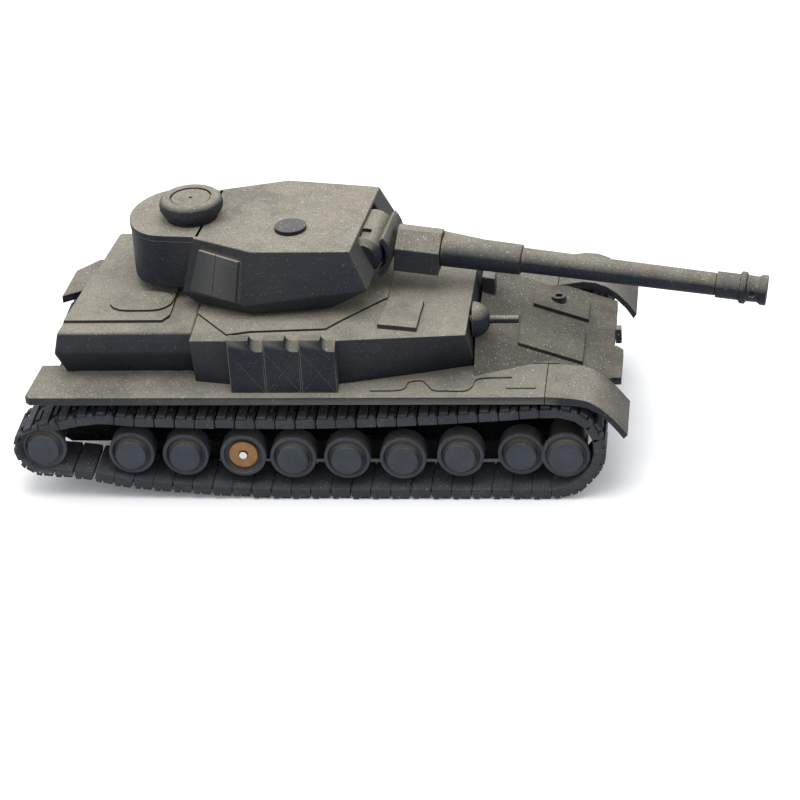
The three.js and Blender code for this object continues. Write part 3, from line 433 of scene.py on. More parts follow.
def painted(name, looks, paint, dust, cover=1.0, grain=(1, 14, 14), side_dust=0.04, gloss=0.55,
            lie=(0.35, 0.93), crease=0.45, level=0.14):
    """Dark painted wood. Dust lies on what faces up, thinner in patches, with pale and dark grains in it and
    brown dust in the corners; fibres run along the grain's unstretched direction.

    cover is the dust's share on level faces, side_dust on upright ones, lie the upward part of the normal
    where dust starts and where it is full, crease the brown dust's share, level the paint's reflection."""
    f = Finish(name)
    patches = f.noise(22, 5, 0.62)
    clouds = f.noise(70, 6, 0.7)
    powder = f.noise(1150, 3, 0.75)
    fibres = f.noise(55, 5, 0.65, grain)
    specks = f.noise(950, 2, 0.5)
    crumbs = f.noise(620, 2, 0.55)
    up = f.upward(*lie)
    thin = f.spread(clouds, 0.3, 0.7, 0.72, 1.04)
    worn = f.spread(patches, 0.36, 0.5, 0.7, 1.0)
    film = f.maths("MULTIPLY", f.maths("MULTIPLY", up, thin), f.maths("MULTIPLY", worn, cover))
    wiped = f.maths("MULTIPLY", f.spread(patches, 0.42, 0.6, 0.2, 1.0),
                    f.spread(clouds, 0.35, 0.7, 0.15, 1.0))
    film = f.maths("ADD", film, f.maths("MULTIPLY", wiped, side_dust))
    dark = f.mix(f.spread(fibres, 0.3, 0.75), paint, tuple(c * 1.5 + 0.002 for c in paint))
    pale = f.mix(f.spread(clouds, 0.3, 0.72), dust, scaled(dust, 0.8))
    pale = f.mix(f.spread(powder, 0.36, 0.64), scaled(dust, (0.55, 0.52, 0.46)), pale)
    base = f.mix(film, dark, pale)
    brown = scaled(dust, (1.1, 0.93, 0.68))
    hollows = f.maths("MULTIPLY", f.corners_dust(looks.crease_reach), f.upward(-0.1, 0.7))
    base = f.mix(f.maths("MULTIPLY", hollows, crease), base, brown)
    base = f.mix(f.maths("MULTIPLY", f.edges(0.53, 0.62), 0.28), base, scaled(dust, 0.7))
    bright = f.maths("MULTIPLY", f.spread(specks, 0.66, 0.72), f.spread(film, 0.02, 0.7, 0.1, 0.8))
    base = f.mix(bright, base, (0.62, 0.58, 0.48))
    dots = f.maths("MULTIPLY", f.spread(crumbs, 0.32, 0.25), 0.7)
    base = f.mix(dots, base, scaled(paint, 1.3))
    f.colour(base)
    f.rough(f.spread(film, 0.0, 0.7, gloss, 0.95))
    f.shader.inputs["Specular IOR Level"].default_value = level
    f.bumps([(fibres, 0.3, 0.2), (clouds, 0.25, 0.5), (powder, looks.powder, 0.12)])
    return f.material


def bare(name, light, dark, ring):
    """Unpainted end grain: rings about the middle of the disc, with fibres and paint smears."""
    f = Finish(name)
    fibres = f.noise(260, 5, 0.65, (1, 0.2, 1))
    blots = f.noise(120, 4, 0.6)
    base = f.mix(f.spread(fibres, 0.3, 0.7), dark, light)
    base = f.mix(f.spread(blots, 0.56, 0.72), base, ring)
    f.colour(base)
    f.rough(f.spread(fibres, 0.2, 0.8, 0.55, 0.8))
    f.bumps([(fibres, 0.5, 0.2)])
    return f.material


def plain(name, colour, roughness, metallic=0.0, speck=0.25):
    """A moulded or metal finish with slight blotches, streaks and fine scratches."""
    f = Finish(name)
    blots = f.noise(160, 5, 0.6)
    fine = f.noise(1200, 3, 0.6, (1, 1, 0.15))
    base = f.mix(f.spread(blots, 0.3, 0.7), scaled(colour, 1 - speck), colour)
    base = f.mix(f.spread(fine, 0.62, 0.8, 0, 0.4), base, tuple(min(1, c * 1.25 + 0.02) for c in colour))
    f.colour(base)
    f.rough(f.spread(blots, 0.2, 0.8, roughness * 0.8, min(1, roughness * 1.25)))
    f.shader.inputs["Metallic"].default_value = metallic
    f.bumps([(fine, 0.2, 0.05)])
    return f.material


def finish_named(kind):
    """A finish made once, then shared."""
    name = f"{kind}_finish"
    found = bpy.data.materials.get(name)
    if found:
        return found
    looks = bpy.context.scene.tank_looks
    paint, dust, rubber, caps = (tuple(c) for c in (looks.paint, looks.dust, looks.belt, looks.caps))
    lighter = scaled(dust, 0.88)
    makers = {
        "dusty_paint": lambda: painted(name, looks, paint, dust),
        "block_paint": lambda: painted(name, looks, paint, dust, lie=(0.3, 0.85)),
        # Real dust dimmed to 0.56, a painted shade for the shadow the barrel casts on the glacis.
        "glacis_shade_paint": lambda: painted(name, looks, paint, scaled(dust, 0.56), 0.95),
        "can_paint": lambda: painted(name, looks, paint, dust, 0.7, crease=0.1),
        # Painted shade: the tub's paint is darkened to a third, its dust to a fifth and its reflection
        # lowered, so its sides read as the shade under the hull.
        "tub_paint": lambda: painted(name, looks, scaled(paint, 0.3), scaled(dust, 0.2),
                                     0.6, side_dust=0.02, crease=0.1, level=0.05),
        "fender_paint": lambda: painted(name, looks, paint, lighter, 0.97, side_dust=0.09),
        "side_paint": lambda: painted(name, looks, paint, dust, 0.9, side_dust=0.03),
        "barrel_paint": lambda: painted(name, looks, paint, dust, 0.88,
                                        grain=(1, 22, 22), side_dust=0.03, lie=(0.2, 0.95)),
        "vent_paint": lambda: painted(name, looks, paint, (0.175, 0.18, 0.18), 0.9),
        "cap_paint": lambda: painted(name, looks, caps, lighter, 0.3,
                                     grain=(1, 1, 1), side_dust=0.05, gloss=0.42),
        "belt_paint": lambda: painted(name, looks, rubber, (0.15, 0.155, 0.17), 0.5,
                                      side_dust=0.2, gloss=0.6, crease=0.15),
        "cupola_paint": lambda: painted(name, looks, paint, dust, 0.9, side_dust=0.14),
        "bare_wood": lambda: bare(name, (0.25, 0.12, 0.036), (0.15, 0.066, 0.02), (0.09, 0.05, 0.025)),
        "steel": lambda: plain(name, (0.62, 0.62, 0.6), 0.3, 1.0),
        "glue": lambda: plain(name, (0.10, 0.105, 0.12), 0.12, 0.0, 0.5),
        "casing": lambda: plain(name, (0.55, 0.54, 0.5), 0.38, 0.9),
        "battery_wrap": lambda: plain(name, (0.05, 0.11, 0.3), 0.35),
        "board_green": lambda: plain(name, (0.02, 0.12, 0.05), 0.4),
        "switch_black": lambda: plain(name, (0.03, 0.03, 0.034), 0.45),
    }
    return makers[kind]()


# ------------------------------------------------------------------ values a user would change
def colour_value(name, description, default):
    """A colour that a user can change."""
    return bpy.props.FloatVectorProperty(name=name, description=description, default=default,
                                         subtype="COLOR", size=3, min=0, max=1)


class TankLooks(bpy.types.PropertyGroup):
    """Sizes and colours of the tank's finish."""

    paint: colour_value("Paint", "Matt dark paint", (0.0056, 0.0078, 0.0125))
    dust: colour_value("Dust", "Dust on what faces up", (0.34, 0.32, 0.272))
    belt: colour_value("Belt", "Paint on the track's links", (0.0095, 0.0115, 0.0155))
    caps: colour_value("Caps", "Smooth paint on wheels and caps", (0.025, 0.029, 0.037))
    edge: bpy.props.FloatProperty(
        name="Edge", description="Rounding of carved edges, in millimetres", default=EDGE, min=0.05, max=2)
    crease_reach: bpy.props.FloatProperty(
        name="Crease reach", description="How far dust creeps out of corners, in millimetres",
        default=2.6, min=0.5, max=10)
    powder: bpy.props.FloatProperty(
        name="Powder", description="Strength of the dust's fine bumps", subtype="FACTOR", default=0.3,
        min=0, max=1)
    light: bpy.props.FloatProperty(
        name="Light", description="Power of the overhead softbox, in watts", default=9.0, min=0)
    sky: bpy.props.FloatProperty(
        name="Sky", description="Strength of the white surroundings", default=1.0, min=0)


def looks():
    """The scene's looks."""
    return bpy.context.scene.tank_looks


# ------------------------------------------------------------------ running gear
def crown(cap):
    """The crown of a cap: radius and height over the rim's face, up to where its rounding starts."""
    return [[0, CAP_PROUD], [cap * 0.7, CAP_PROUD - CAP_FALL]]


def wheel_profile(r, thick):
    """Radius and depth from the face: a crowned cap, a deep ring-shaped recess and a rounded tread."""
    cap = ROAD_CAP_R
    tread = [[cap, CAP_PROUD - 0.25], [cap + 0.1, -3], [r - RIM - 0.5, -3.1], [r - RIM, 0], [r, -0.1],
             [r, -thick], [ROD_HOLE_R, -thick]]
    return np.vstack([crown(cap), softened(crown(cap)[1:] + tread, 0.9, 5)[1:],
                      [[ROD_HOLE_R, -2.4], [0, -2.4]]])


def open_profile(r, thick):
    """The same wheel without its cap: a ring about the rod's hole, closed on itself."""
    ring = softened([[ROD_HOLE_R, -4], [r - RIM, -4], [r - RIM, 0], [r, -0.1], [r, -thick],
                     [ROD_HOLE_R, -thick]], 0.9, 5)
    return np.vstack([ring, ring[:1]])


def wheel_place(node, s, proud=CAP_PROUD):
    """A wheel's radius, its rim's face out from the middle plane and its thickness behind that face, in
    millimetres, and axes on the face whose third one points outwards."""
    low, high = corners(node)
    face = (high[1] if s > 0 else -low[1]) / MM - proud
    thick = abs(high[1] - low[1]) / MM - proud
    origin = middle(node) * (1, 0, 1) + np.array([0, s * face * MM, 0])
    return (high[2] - low[2]) / 2 / MM, face, thick, turned_axes(origin, (0, s, 0))


class TANK_OT_wheels(bpy.types.Operator):
    """Road wheels as rounded cups with crowned caps, one of them without its cap"""

    bl_idname = "tank.wheels"
    bl_label = "Road wheels"

    def execute(self, context):
        for side, s in SIDES.items():
            for i in range(1, 9):
                node = f"wheel_{side}_{i}"
                bare_one = node == "wheel_right_3"
                r, _, thick, axes = wheel_place(node, s, 0.0 if bare_one else CAP_PROUD)
                profile = (open_profile if bare_one else wheel_profile)(r, thick)
                if bare_one:
                    bore = ROD_HOLE_R + 0.1
                    disc = softened([[bore, -1.6], [CORE_R, -1.6], [CORE_R, -3.9], [bore, -3.9]], 0.4)
                    new_piece("wheel_right_3_core", *lathe(np.vstack([disc, disc[:1]]), axes), "bare_wood",
                              node, "bare_wood")
                new_piece(f"{node}_turned", *lathe(profile, axes), "cap_paint", node, "wheel_paint",
                          (node,))
        return {"FINISHED"}


class TANK_OT_end_wheels(bpy.types.Operator):
    """Drive wheels and idlers: a flange with a crowned cap on a drum that carries the belt"""

    bl_idname = "tank.end_wheels"
    bl_label = "Drive wheels and idlers"

    def execute(self, context):
        for side, s in SIDES.items():
            for kind, body, drum in (("drive_wheel", "drive", 12.5), ("idler", "idler", 10.2)):
                node = f"{kind}_{side}"
                r, face, _, axes = wheel_place(node, s)
                back = DRUM_INNER_Y - face
                cap = r - 4.4
                tread = [[cap, CAP_PROUD - 0.3], [cap + 0.1, -2], [r - RIM - 0.4, -2.1], [r - RIM, 0],
                         [r, -0.1], [r, -FLANGE], [drum, -FLANGE], [drum, back], [2.9, back], [2.9, -FLANGE]]
                profile = np.vstack([crown(cap), softened(crown(cap)[1:] + tread, 0.8, 5)[1:],
                                     [[0, -FLANGE]]])
                new_piece(f"{node}_turned", *lathe(profile, axes), "cap_paint", f"{body}_{side}",
                          "wheel_paint", (node,))
        return {"FINISHED"}


def belt_line(side):
    """The belt's outer line in X and Z, in millimetres: flat on the ground under the front wheels, rising
    to the idler, round both ends and sagging between them along the top."""
    idler, drive = (middle(f"{kind}_{side}")[[0, 2]] / MM for kind in ("idler", "drive_wheel"))
    wheels = [middle(f"wheel_{side}_{i}")[0] / MM for i in range(1, 9)]
    under = corners(f"{side}_fender")[0][2] / MM
    a = np.radians([255, 230, 200, 172, 146])
    around = idler + 19.1 * np.stack([np.cos(a), np.sin(a)], axis=1)
    t = np.linspace(0, 1, 9)
    top = np.stack([idler[0] + 29 + t * (drive[0] - idler[0] - 39),
                    under - 8 + 4.5 * t - 5 * np.sin(np.pi * t)], axis=1)
    nose = drive[0] + 24.5
    ground = [[drive[0] - 9, 0], [wheels[6], 0], [wheels[4], 0], [wheels[3] - 4, 0], [wheels[2] - 5, 1.3],
              [wheels[1], 3.8], [wheels[0] + 10, 5.9], [wheels[0] - 11, 9.2], [wheels[0] - 30, 13.6]]
    front = [[nose - 20, under - 4.6], [nose - 9, under - 11], [nose - 2.4, under - 19],
             [nose, drive[1] + 12], [nose, drive[1] + 1], [nose - 2.6, drive[1] - 8.5],
             [nose - 9.5, drive[1] - 17.8], [nose - 19, drive[1] - 26]]
    return np.vstack([ground, around, top, front])


def link_shape():
    """One link, along the belt (0 to 1), across it (millimetres) and in from its outer line: a plate with
    a saw-cut at each end, a raised cleat that stops short of the edges, a notch in each edge and an
    unbroken backing."""
    plate = slab((0.03, -LINK_HALF, 2.1), (0.97, LINK_HALF, LINK_DEPTH))
    cleat = slab((0.10, -15.4, 0), (0.55, 15.4, 2.6))
    outer = slab((0.62, -LINK_HALF, 0.5), (0.90, -12.5, 2.6))
    inner = slab((0.62, 12.5, 0.5), (0.90, LINK_HALF, 2.6))
    heel = slab((0.62, -6, 0.9), (0.86, 6, 2.6))
    backing = slab((0, -15.4, 4.6), (1, 15.4, 7.0))
    blocks = (plate, cleat, outer, inner, heel, backing)
    points = np.vstack([p / MM for p, _ in blocks])
    faces = np.vstack([np.array(f) + 8 * i for i, (_, f) in enumerate(blocks)])
    return points, faces


class TANK_OT_tracks(bpy.types.Operator):
    """Link tracks: sixty-four cut links a side, laid along the belt's line a little unevenly"""

    bl_idname = "tank.tracks"
    bl_label = "Tracks"

    def execute(self, context):
        random = np.random.default_rng(7)
        for side, s in SIDES.items():
            dense = smooth_line(belt_line(side), LINKS * LINK_STEPS, closed=True)
            shape, quads = link_shape()
            low, high = corners(f"track_{side}")
            centre_y = (low[1] + high[1]) / 2 / MM
            jitter = random.normal(0, 1, (3, LINKS, 1)) * np.array([0.012, 0.35, 0.12])[:, None, None]
            number = np.arange(LINKS)
            along = (number[:, None] + shape[None, :, 0] + jitter[0]) % LINKS * LINK_STEPS
            i0 = np.floor(along).astype(int) % len(dense)
            i1 = (i0 + 1) % len(dense)
            part = (along - np.floor(along))[..., None]
            on = dense[i0] * (1 - part) + dense[i1] * part
            mid = np.floor((number + 0.5) * LINK_STEPS).astype(int)
            tangent = dense[(mid + 7) % len(dense)] - dense[(mid - 7) % len(dense)]
            tangent /= np.linalg.norm(tangent, axis=1, keepdims=True)
            inward = np.stack([tangent[:, 1], -tangent[:, 0]], axis=1)[:, None]
            depth = (shape[None, :, 2] + np.abs(jitter[2]))[..., None]
            flat = on + inward * depth
            z = np.maximum(flat[..., 1], np.minimum(shape[None, :, 2], LINK_DEPTH))
            y = np.clip(centre_y + shape[None, :, 1] + jitter[1], low[1] / MM, high[1] / MM)
            # Behind the end wheels' flanges the links draw in, so that the flanges stand in the open.
            for kind in ("idler", "drive_wheel"):
                hub_low, hub_high = (c / MM for c in corners(f"{kind}_{side}"))
                hub, r = (hub_low + hub_high) / 2, (hub_high[2] - hub_low[2]) / 2 + 0.35
                behind = max(-hub_low[1], hub_high[1]) - CAP_PROUD - FLANGE - 0.3
                near = np.hypot(flat[..., 0] - hub[0], z - hub[2]) < r
                y = np.where(near, s * np.minimum(s * y, behind), y)
            points = np.stack([flat[..., 0], y, z], axis=2).reshape(-1, 3) * MM
            faces = (quads[None] + (number * len(shape))[:, None, None]).reshape(-1, 4)
            belt = new_piece(f"track_{side}_links", points, faces, "belt_paint", "hull", "track_rubber",
                             (f"track_{side}",), sharp=20)
            bevel(belt, 0.35, 2)
        return {"FINISHED"}


# ------------------------------------------------------------------ hull
# Each board's finish, and the rounding of its edges in millimetres at the standard edge.
HULL_CARVED = {
    "engine_deck": ("dusty_paint", 2.2), "superstructure": ("dusty_paint", 0.55),
    # The glacis, its hatch and plate take dust dimmed as a painted shadow of the barrel.
    "glacis": ("glacis_shade_paint", 0.6),
    "turret_platform": ("dusty_paint", 0.3), "engine_deck_panel": ("dusty_paint", 0.35),
    "operator_hatch": ("dusty_paint", 0.35), "transmission_hatch": ("glacis_shade_paint", 0.35),
    "glacis_plate": ("glacis_shade_paint", 0.35), "driver_visor": ("dusty_paint", 0.6),
    "right_fender": ("fender_paint", 0.5), "left_fender": ("fender_paint", 0.5),
    "right_mudguard": ("fender_paint", 0.5), "left_mudguard": ("fender_paint", 0.5),
    # The tub takes the painted-shade finish, darker than the rest of the paint.
    "hull_tub": ("tub_paint", 0.5), "belly_cover": ("side_paint", 0.3), "tow_hook": ("side_paint", 0.3),
}


class TANK_OT_hull(bpy.types.Operator):
    """Hull boards, fenders and hatches with soft carved edges"""

    bl_idname = "tank.hull"
    bl_label = "Hull"

    def execute(self, context):
        for node, (finish, width) in HULL_CARVED.items():
            slot = "dark_wood" if finish in ("side_paint", "tub_paint") else "painted_wood"
            carved(node, finish, width * looks().edge / EDGE, slot=slot)
        return {"FINISHED"}


class TANK_OT_cans(bpy.types.Operator):
    """Jerry cans in a row, scooped at their forward halves, with a cross cut in each"""

    bl_idname = "tank.cans"
    bl_label = "Fuel cans"

    def execute(self, context):
        low, high = (c / MM for c in corners("fuel_cans"))
        width = (high[0] - low[0]) / 3
        # One can's outline from its rear foot, up, along its top, down the scoop and along the lip.
        a = np.linspace(0, np.pi / 2, 9)
        lip = high[2] - SCOOP_DEPTH
        scoop = np.stack([0.6 * width + SCOOP_RUN * (1 - np.cos(a)), high[2] - SCOOP_DEPTH * np.sin(a)],
                         axis=1)
        for i in range(3):
            x0 = low[0] + i * width
            outline = np.vstack([[[0.15, low[2]], [0.15, high[2]]], scoop, [[width - 0.15, lip],
                                                                          [width - 0.15, low[2]]]])
            n = len(outline)
            points = np.vstack([np.column_stack([x0 + outline[:, 0], np.full(n, y), outline[:, 1]])
                                for y in (low[1], high[1])]) * MM
            # The scoop is less than half as deep at its rear edge.
            rear = points[n + 2:-1, 2]
            rear[:] = high[2] * MM - (high[2] * MM - rear) * 0.45
            faces = grid_faces(2, n, close_columns=True).tolist()
            faces += [list(range(n))[::-1], list(range(n, 2 * n))]
            can = new_piece(f"fuel_can_{i + 1}", points, faces, "can_paint", "hull", "painted_wood",
                            ("fuel_cans",) if i == 0 else (), sharp=30)
            bevel(can, 0.45)
            bake_modifiers(can)
            # Two V grooves across the face, from corner to corner.
            for from_x, to_x in ((1.2, width - 1.2), (width - 1.2, 1.2)):
                foot, head = np.array([from_x, low[2] + 1]), np.array([to_x, lip - 0.5])
                run = (head - foot) / np.linalg.norm(head - foot)
                normal = np.array([-run[1], run[0]]) * 0.55
                ring = [foot - normal, foot + normal, head + normal, head - normal]
                front = [[x0 + p[0], low[1] - 0.4, p[1]] for p in ring]
                deep = [[x0 + p[0], low[1] + 0.75, p[1]] for p in (foot, foot, head, head)]
                quads = [[0, 1, 2, 3], [4, 7, 6, 5], [0, 4, 5, 1], [1, 5, 6, 2], [2, 6, 7, 3], [3, 7, 4, 0]]
                engrave(can, np.array(front + deep) * MM, quads)
            even_shading(can)
        return {"FINISHED"}


class TANK_OT_hull_gun(bpy.types.Operator):
    """The dome in the front plate and its short gun"""

    bl_idname = "tank.hull_gun"
    bl_label = "Hull gun"

    def execute(self, context):
        low, high = corners("hull_gun")
        r = (high[2] - low[2]) / 2 / MM
        reach, ahead = 7.0, (high[0] - low[0]) / MM - 7.0
        a = np.linspace(0, np.pi / 2 - 0.24, 14)
        bulge = np.stack([r * np.cos(a), r * np.sin(a)], axis=1)
        profile = np.vstack([[[0, -reach], [2.6, -reach], [2.6, 0], [r - 0.6, 0], [r, 0.4]], bulge[1:],
                             softened([bulge[-1], [2.7, r - 0.2], [2.45, r + 1.2], [2.45, ahead - 0.2],
                                       [1.4, ahead], [1.4, ahead - 3], [0, ahead - 3]], 0.4, 3)[1:]])
        origin = np.array([low[0] + reach * MM, *((low + high) / 2)[1:]])
        axes = turned_axes(origin, (1, 0, 0))
        new_piece("hull_gun_dome", *lathe(profile, axes, 48), "dusty_paint", "hull_gun", "dark_wood",
                  ("hull_gun",), sharp=50)
        return {"FINISHED"}


class TANK_OT_trim(bpy.types.Operator):
    """Bent wire and cleat on the right fender, glue beads along the hull's foot"""

    bl_idname = "tank.trim"
    bl_label = "Wire, cleat and glue"

    def execute(self, context):
        low, high = corners("right_fender")
        front = corners("right_mudguard")[0][0]
        top = high[2]
        # Places forward of the mudguard's seam and in from the fender's edge, in millimetres.
        route = [(-106.6, 7.6), (-90, 8.3), (-86.5, 10), (-84.6, 17.5), (-80, 20), (-75.6, 19.8),
                 (-71.5, 14), (-67.8, 8.2), (-60, 7.4), (-48.5, 7.5), (-45.4, 12), (-43.5, 20.5),
                 (-39, 22.8), (-21.3, 24)]
        path = [(front + x * MM, low[1] + y * MM, top + 0.6 * MM) for x, y in route]
        wire = tube(smooth_line(path, 160), 0.8 * MM)
        new_piece("fender_wire", *wire, "fender_paint", "hull", "painted_wood", sharp=60)
        cleat = slab((front / MM - 24, low[1] / MM + 9.9, top / MM - 0.1),
                     (front / MM - 6, low[1] / MM + 13.2, top / MM + 1.1))
        bevel(new_piece("fender_cleat", *cleat, "fender_paint", "hull", "painted_wood"), 0.4)
        # Dark boards under the tub's sides, behind the wheels: painted shade between the wheels.
        # They hide the pale floor under the tub, where only shade is seen, and wear the tub's painted-shade
        # finish.
        tub_low, tub_high = corners("hull_tub")
        half = max(-tub_low[1], tub_high[1]) / MM
        for side, s in SIDES.items():
            x0 = middle(f"wheel_{side}_1")[0] / MM - 10
            x1 = middle(f"drive_wheel_{side}")[0] / MM - 4
            y0, y1 = sorted((s * (half - 5), s * (half - 0.4)))
            new_piece(f"shade_board_{side}", *slab((x0, y0, 6), (x1, y1, tub_low[2] / MM + 1)),
                      "tub_paint", "hull", "dark_wood")
        # Glue squeezed out along the foot of the engine deck and the superstructure.
        random = np.random.default_rng(3)
        deck_low, deck_high = corners("engine_deck")
        can_low = corners("fuel_cans")[0]
        runs = {"glue_bead_deck": (deck_low[0] + 8 * MM, deck_high[0] - 2 * MM, deck_low[1] + 11.2 * MM),
                "glue_bead_side": (deck_high[0] + 4 * MM, can_low[0] - 1 * MM, deck_low[1] + 6.4 * MM)}
        for name, (x0, x1, y) in runs.items():
            x = np.linspace(x0, x1, 120)
            wave = np.interp(x, np.linspace(x0, x1, 24), random.uniform(0.55, 1.35, 24))
            ends = np.minimum(1, np.minimum(x - x0, x1 - x) / (2 * MM) + 0.15)
            path = np.stack([x, np.full(120, y), np.full(120, top + 0.1 * MM)], axis=1)
            new_piece(name, *tube(path, wave * ends * MM, 10), "glue", "hull", "painted_wood", sharp=80)
        return {"FINISHED"}


# ------------------------------------------------------------------ turret
class TANK_OT_turret(bpy.types.Operator):
    """Turret body, side hatches, ring and roof disc"""

    bl_idname = "tank.turret"
    bl_label = "Turret"

    def execute(self, context):
        carved("turret_shell", "dusty_paint", 0.9, "turret")
        carved("turret_ring", "side_paint", 0.3, "turret", "dark_wood")
        for side, s in SIDES.items():
            node = f"side_hatch_{side}"
            centre = middle(node)
            out = np.array([-0.31, 0.89 * s, 0.31]) @ turret_axes()[1]
            out /= np.linalg.norm(out)
            up = np.array([0, 0, 1]) - out[2] * out
            up /= np.linalg.norm(up)
            axes = centre, np.array([np.cross(out, up), up, out])
            # The four corners that stand furthest out, laid into one plane.
            local = np.unique(np.round((vertices(node) - centre) / MM @ axes[1].T, 3), axis=0)
            face = local[np.argsort(local[:, 2])[-4:]]
            face = face[np.argsort(np.arctan2(face[:, 1], face[:, 0]))]
            top = face[:, 2].mean()
            hatch = new_piece(f"{node}_leaves", *prism(face[:, :2], [(top - 3, 0), (top, 0)], axes),
                              "dusty_paint", "turret", "painted_wood", (node,))
            bevel(hatch, 0.5)
            bake_modifiers(hatch)
            # The seam between the two leaves runs up the middle.
            engrave(hatch, *slab((-0.3, -20, top - 0.6), (0.3, 20, top + 3), axes))
            even_shading(hatch)
        low, high = corners("roof_vent")
        r = (high[0] - low[0]) / 2 / MM
        tall = (high[2] - low[2]) / MM
        edge = softened([[0, 0], [r, 0], [r, tall], [r * 0.8, tall], [0, tall]], 0.7)
        disc = np.vstack([[[0, 0]], edge[1:]])
        new_piece("roof_vent_disc", *lathe(disc, standing("roof_vent")), "vent_paint", "turret",
                  "dark_wood", ("roof_vent",))
        return {"FINISHED"}


class TANK_OT_bin(bpy.types.Operator):
    """Stowage bin behind the turret, bent round in one curve, with its lid"""

    bl_idname = "tank.bin"
    bl_label = "Turret bin"

    def execute(self, context):
        axes = turret_axes()
        for node, grow in (("turret_bin", 0.0), ("bin_lid", 0.9)):
            low, high = (c / MM for c in corners(node))
            back = [(-72, 33), (-81, 32.2), (-89, 28), (-95.5, 20.5), (-100, 10), (-101.4, 0)]
            half = np.array(back) + np.array([0, 1]) * grow * 0.5
            full = np.vstack([half, half[-2::-1] * (1, -1)])
            bend = smooth_line(full, 60)
            front = -50.3 if node == "bin_lid" else -50.6
            outline = np.vstack([[[front, -half[0, 1]]], [[front, half[0, 1]]], bend])
            levels = [(low[2], grow * 0.4), (high[2], grow * 0.4)]
            piece = new_piece(f"{node}_bent", *prism(outline, levels, axes), "dusty_paint", "turret",
                              "painted_wood", (node,), sharp=40)
            bevel(piece, 0.5)
        return {"FINISHED"}


class TANK_OT_cupola(bpy.types.Operator):
    """Commander's cupola: a bulging turned ring with grooves and a hole in its top"""

    bl_idname = "tank.cupola"
    bl_label = "Cupola"

    def execute(self, context):
        low, high = corners("cupola")
        tall = (high[2] - low[2]) / MM
        r = (high[0] - low[0]) / 2 / MM
        groove = [[0, tall - 4], [1.2, tall - 4], [1.2, tall - 1.5], [6.4, tall - 1.5], [6.7, tall - 1.75],
                  [7.0, tall - 1.5], [12.0, tall - 1.45], [12.2, tall - 2.6], [12.9, tall - 2.6],
                  [13.1, tall - 0.9], [15.2, tall - 0.3]]
        a = np.linspace(0, np.pi / 2, 12)
        brow = np.stack([r - 4.2 + 4.2 * np.sin(a), tall - 5.4 + 5.1 * np.cos(a)], axis=1)
        foot = [[r - 0.1, tall - 7.5], [r - 1.4, tall - 10.2], [r - 3.2, tall - 12.4], [r - 4, 0], [0, 0]]
        profile = np.vstack([groove, brow[1:], foot])
        new_piece("cupola_turned", *lathe(profile, standing("cupola"), 96), "cupola_paint", "turret",
                  "painted_wood", ("cupola",), sharp=50)
        return {"FINISHED"}


# ------------------------------------------------------------------ gun
def bore_axes():
    """The gun's axes with the bore last, for lathes that turn about it."""
    pivot, (along, across, up) = gun_axes()
    return pivot, np.array([across, up, along])


def reach_along(node):
    """Where a node starts and ends along the bore, in millimetres from the trunnion."""
    pivot, (along, _, _) = gun_axes()
    t = (vertices(node) - pivot) @ along / MM
    return t.min(), t.max()


class TANK_OT_gun(bpy.types.Operator):
    """Mantlet, gun block, stepped barrel and muzzle brake"""

    bl_idname = "tank.gun"
    bl_label = "Gun"

    def execute(self, context):
        carved("mantlet", "dusty_paint", 0.6, "gun")
        carved("gun_block", "block_paint", 0.7, "gun")
        start, end = reach_along("barrel")
        sleeve = start + SLEEVE_START
        step = sleeve + SLEEVE_LENGTH
        face = end - TENON_LENGTH
        barrel = np.vstack([[[0, start], [4.9, start], [4.9, sleeve - 0.1]],
                            softened([[4.9, sleeve - 0.1], [10, sleeve], [9.4, step - 0.5], [7.7, step],
                                      [7.0, face - 0.3], [3.7, face], [3.7, end], [0, end]], 0.6)[1:]])
        new_piece("barrel_turned", *lathe(barrel, bore_axes(), 64), "barrel_paint", "gun", "dark_wood",
                  ("barrel",))
        start, end = reach_along("muzzle_brake")
        offsets = [[4, 0], [8.1, 0], [8.1, 14], [9.9, 15], [9.9, 18], [8.2, 19], [7.9, 25.5], [9.3, 27.5],
                   [9.3, end - start], [4, end - start], [4, 0]]
        profile = np.array(offsets) + [0, start]
        ring = softened(profile, 0.45, 3)
        ring[-1] = ring[0]
        brake = new_piece("muzzle_brake_turned", *lathe(ring, bore_axes(), 64), "barrel_paint", "gun",
                          "dark_wood", ("muzzle_brake",))
        pivot, (along, across, _) = gun_axes()
        port = pivot + along * (start + 22.2) * MM
        engrave(brake, *lathe([[0, -12], [2.2, -12], [2.2, 12], [0, 12]], turned_axes(port, across), 32))
        return {"FINISHED"}


# ------------------------------------------------------------------ what is hidden inside
INNER = {
    "axle_rack": "steel", "drive_shaft_right": "steel", "drive_shaft_left": "steel",
    "gearmotor_right": "casing", "gearmotor_left": "casing", "battery_pack": "battery_wrap",
    "control_board": "board_green", "power_switch": "switch_black",
}


class TANK_OT_finishes(bpy.types.Operator):
    """Finishes on every piece of the frame, shown or hidden"""

    bl_idname = "tank.finishes"
    bl_label = "Finishes of the frame"

    def execute(self, context):
        for node, piece in frame["nodes"].items():
            piece.data.materials.clear()
            piece.data.materials.append(finish_named(INNER.get(node, "side_paint")))
        return {"FINISHED"}


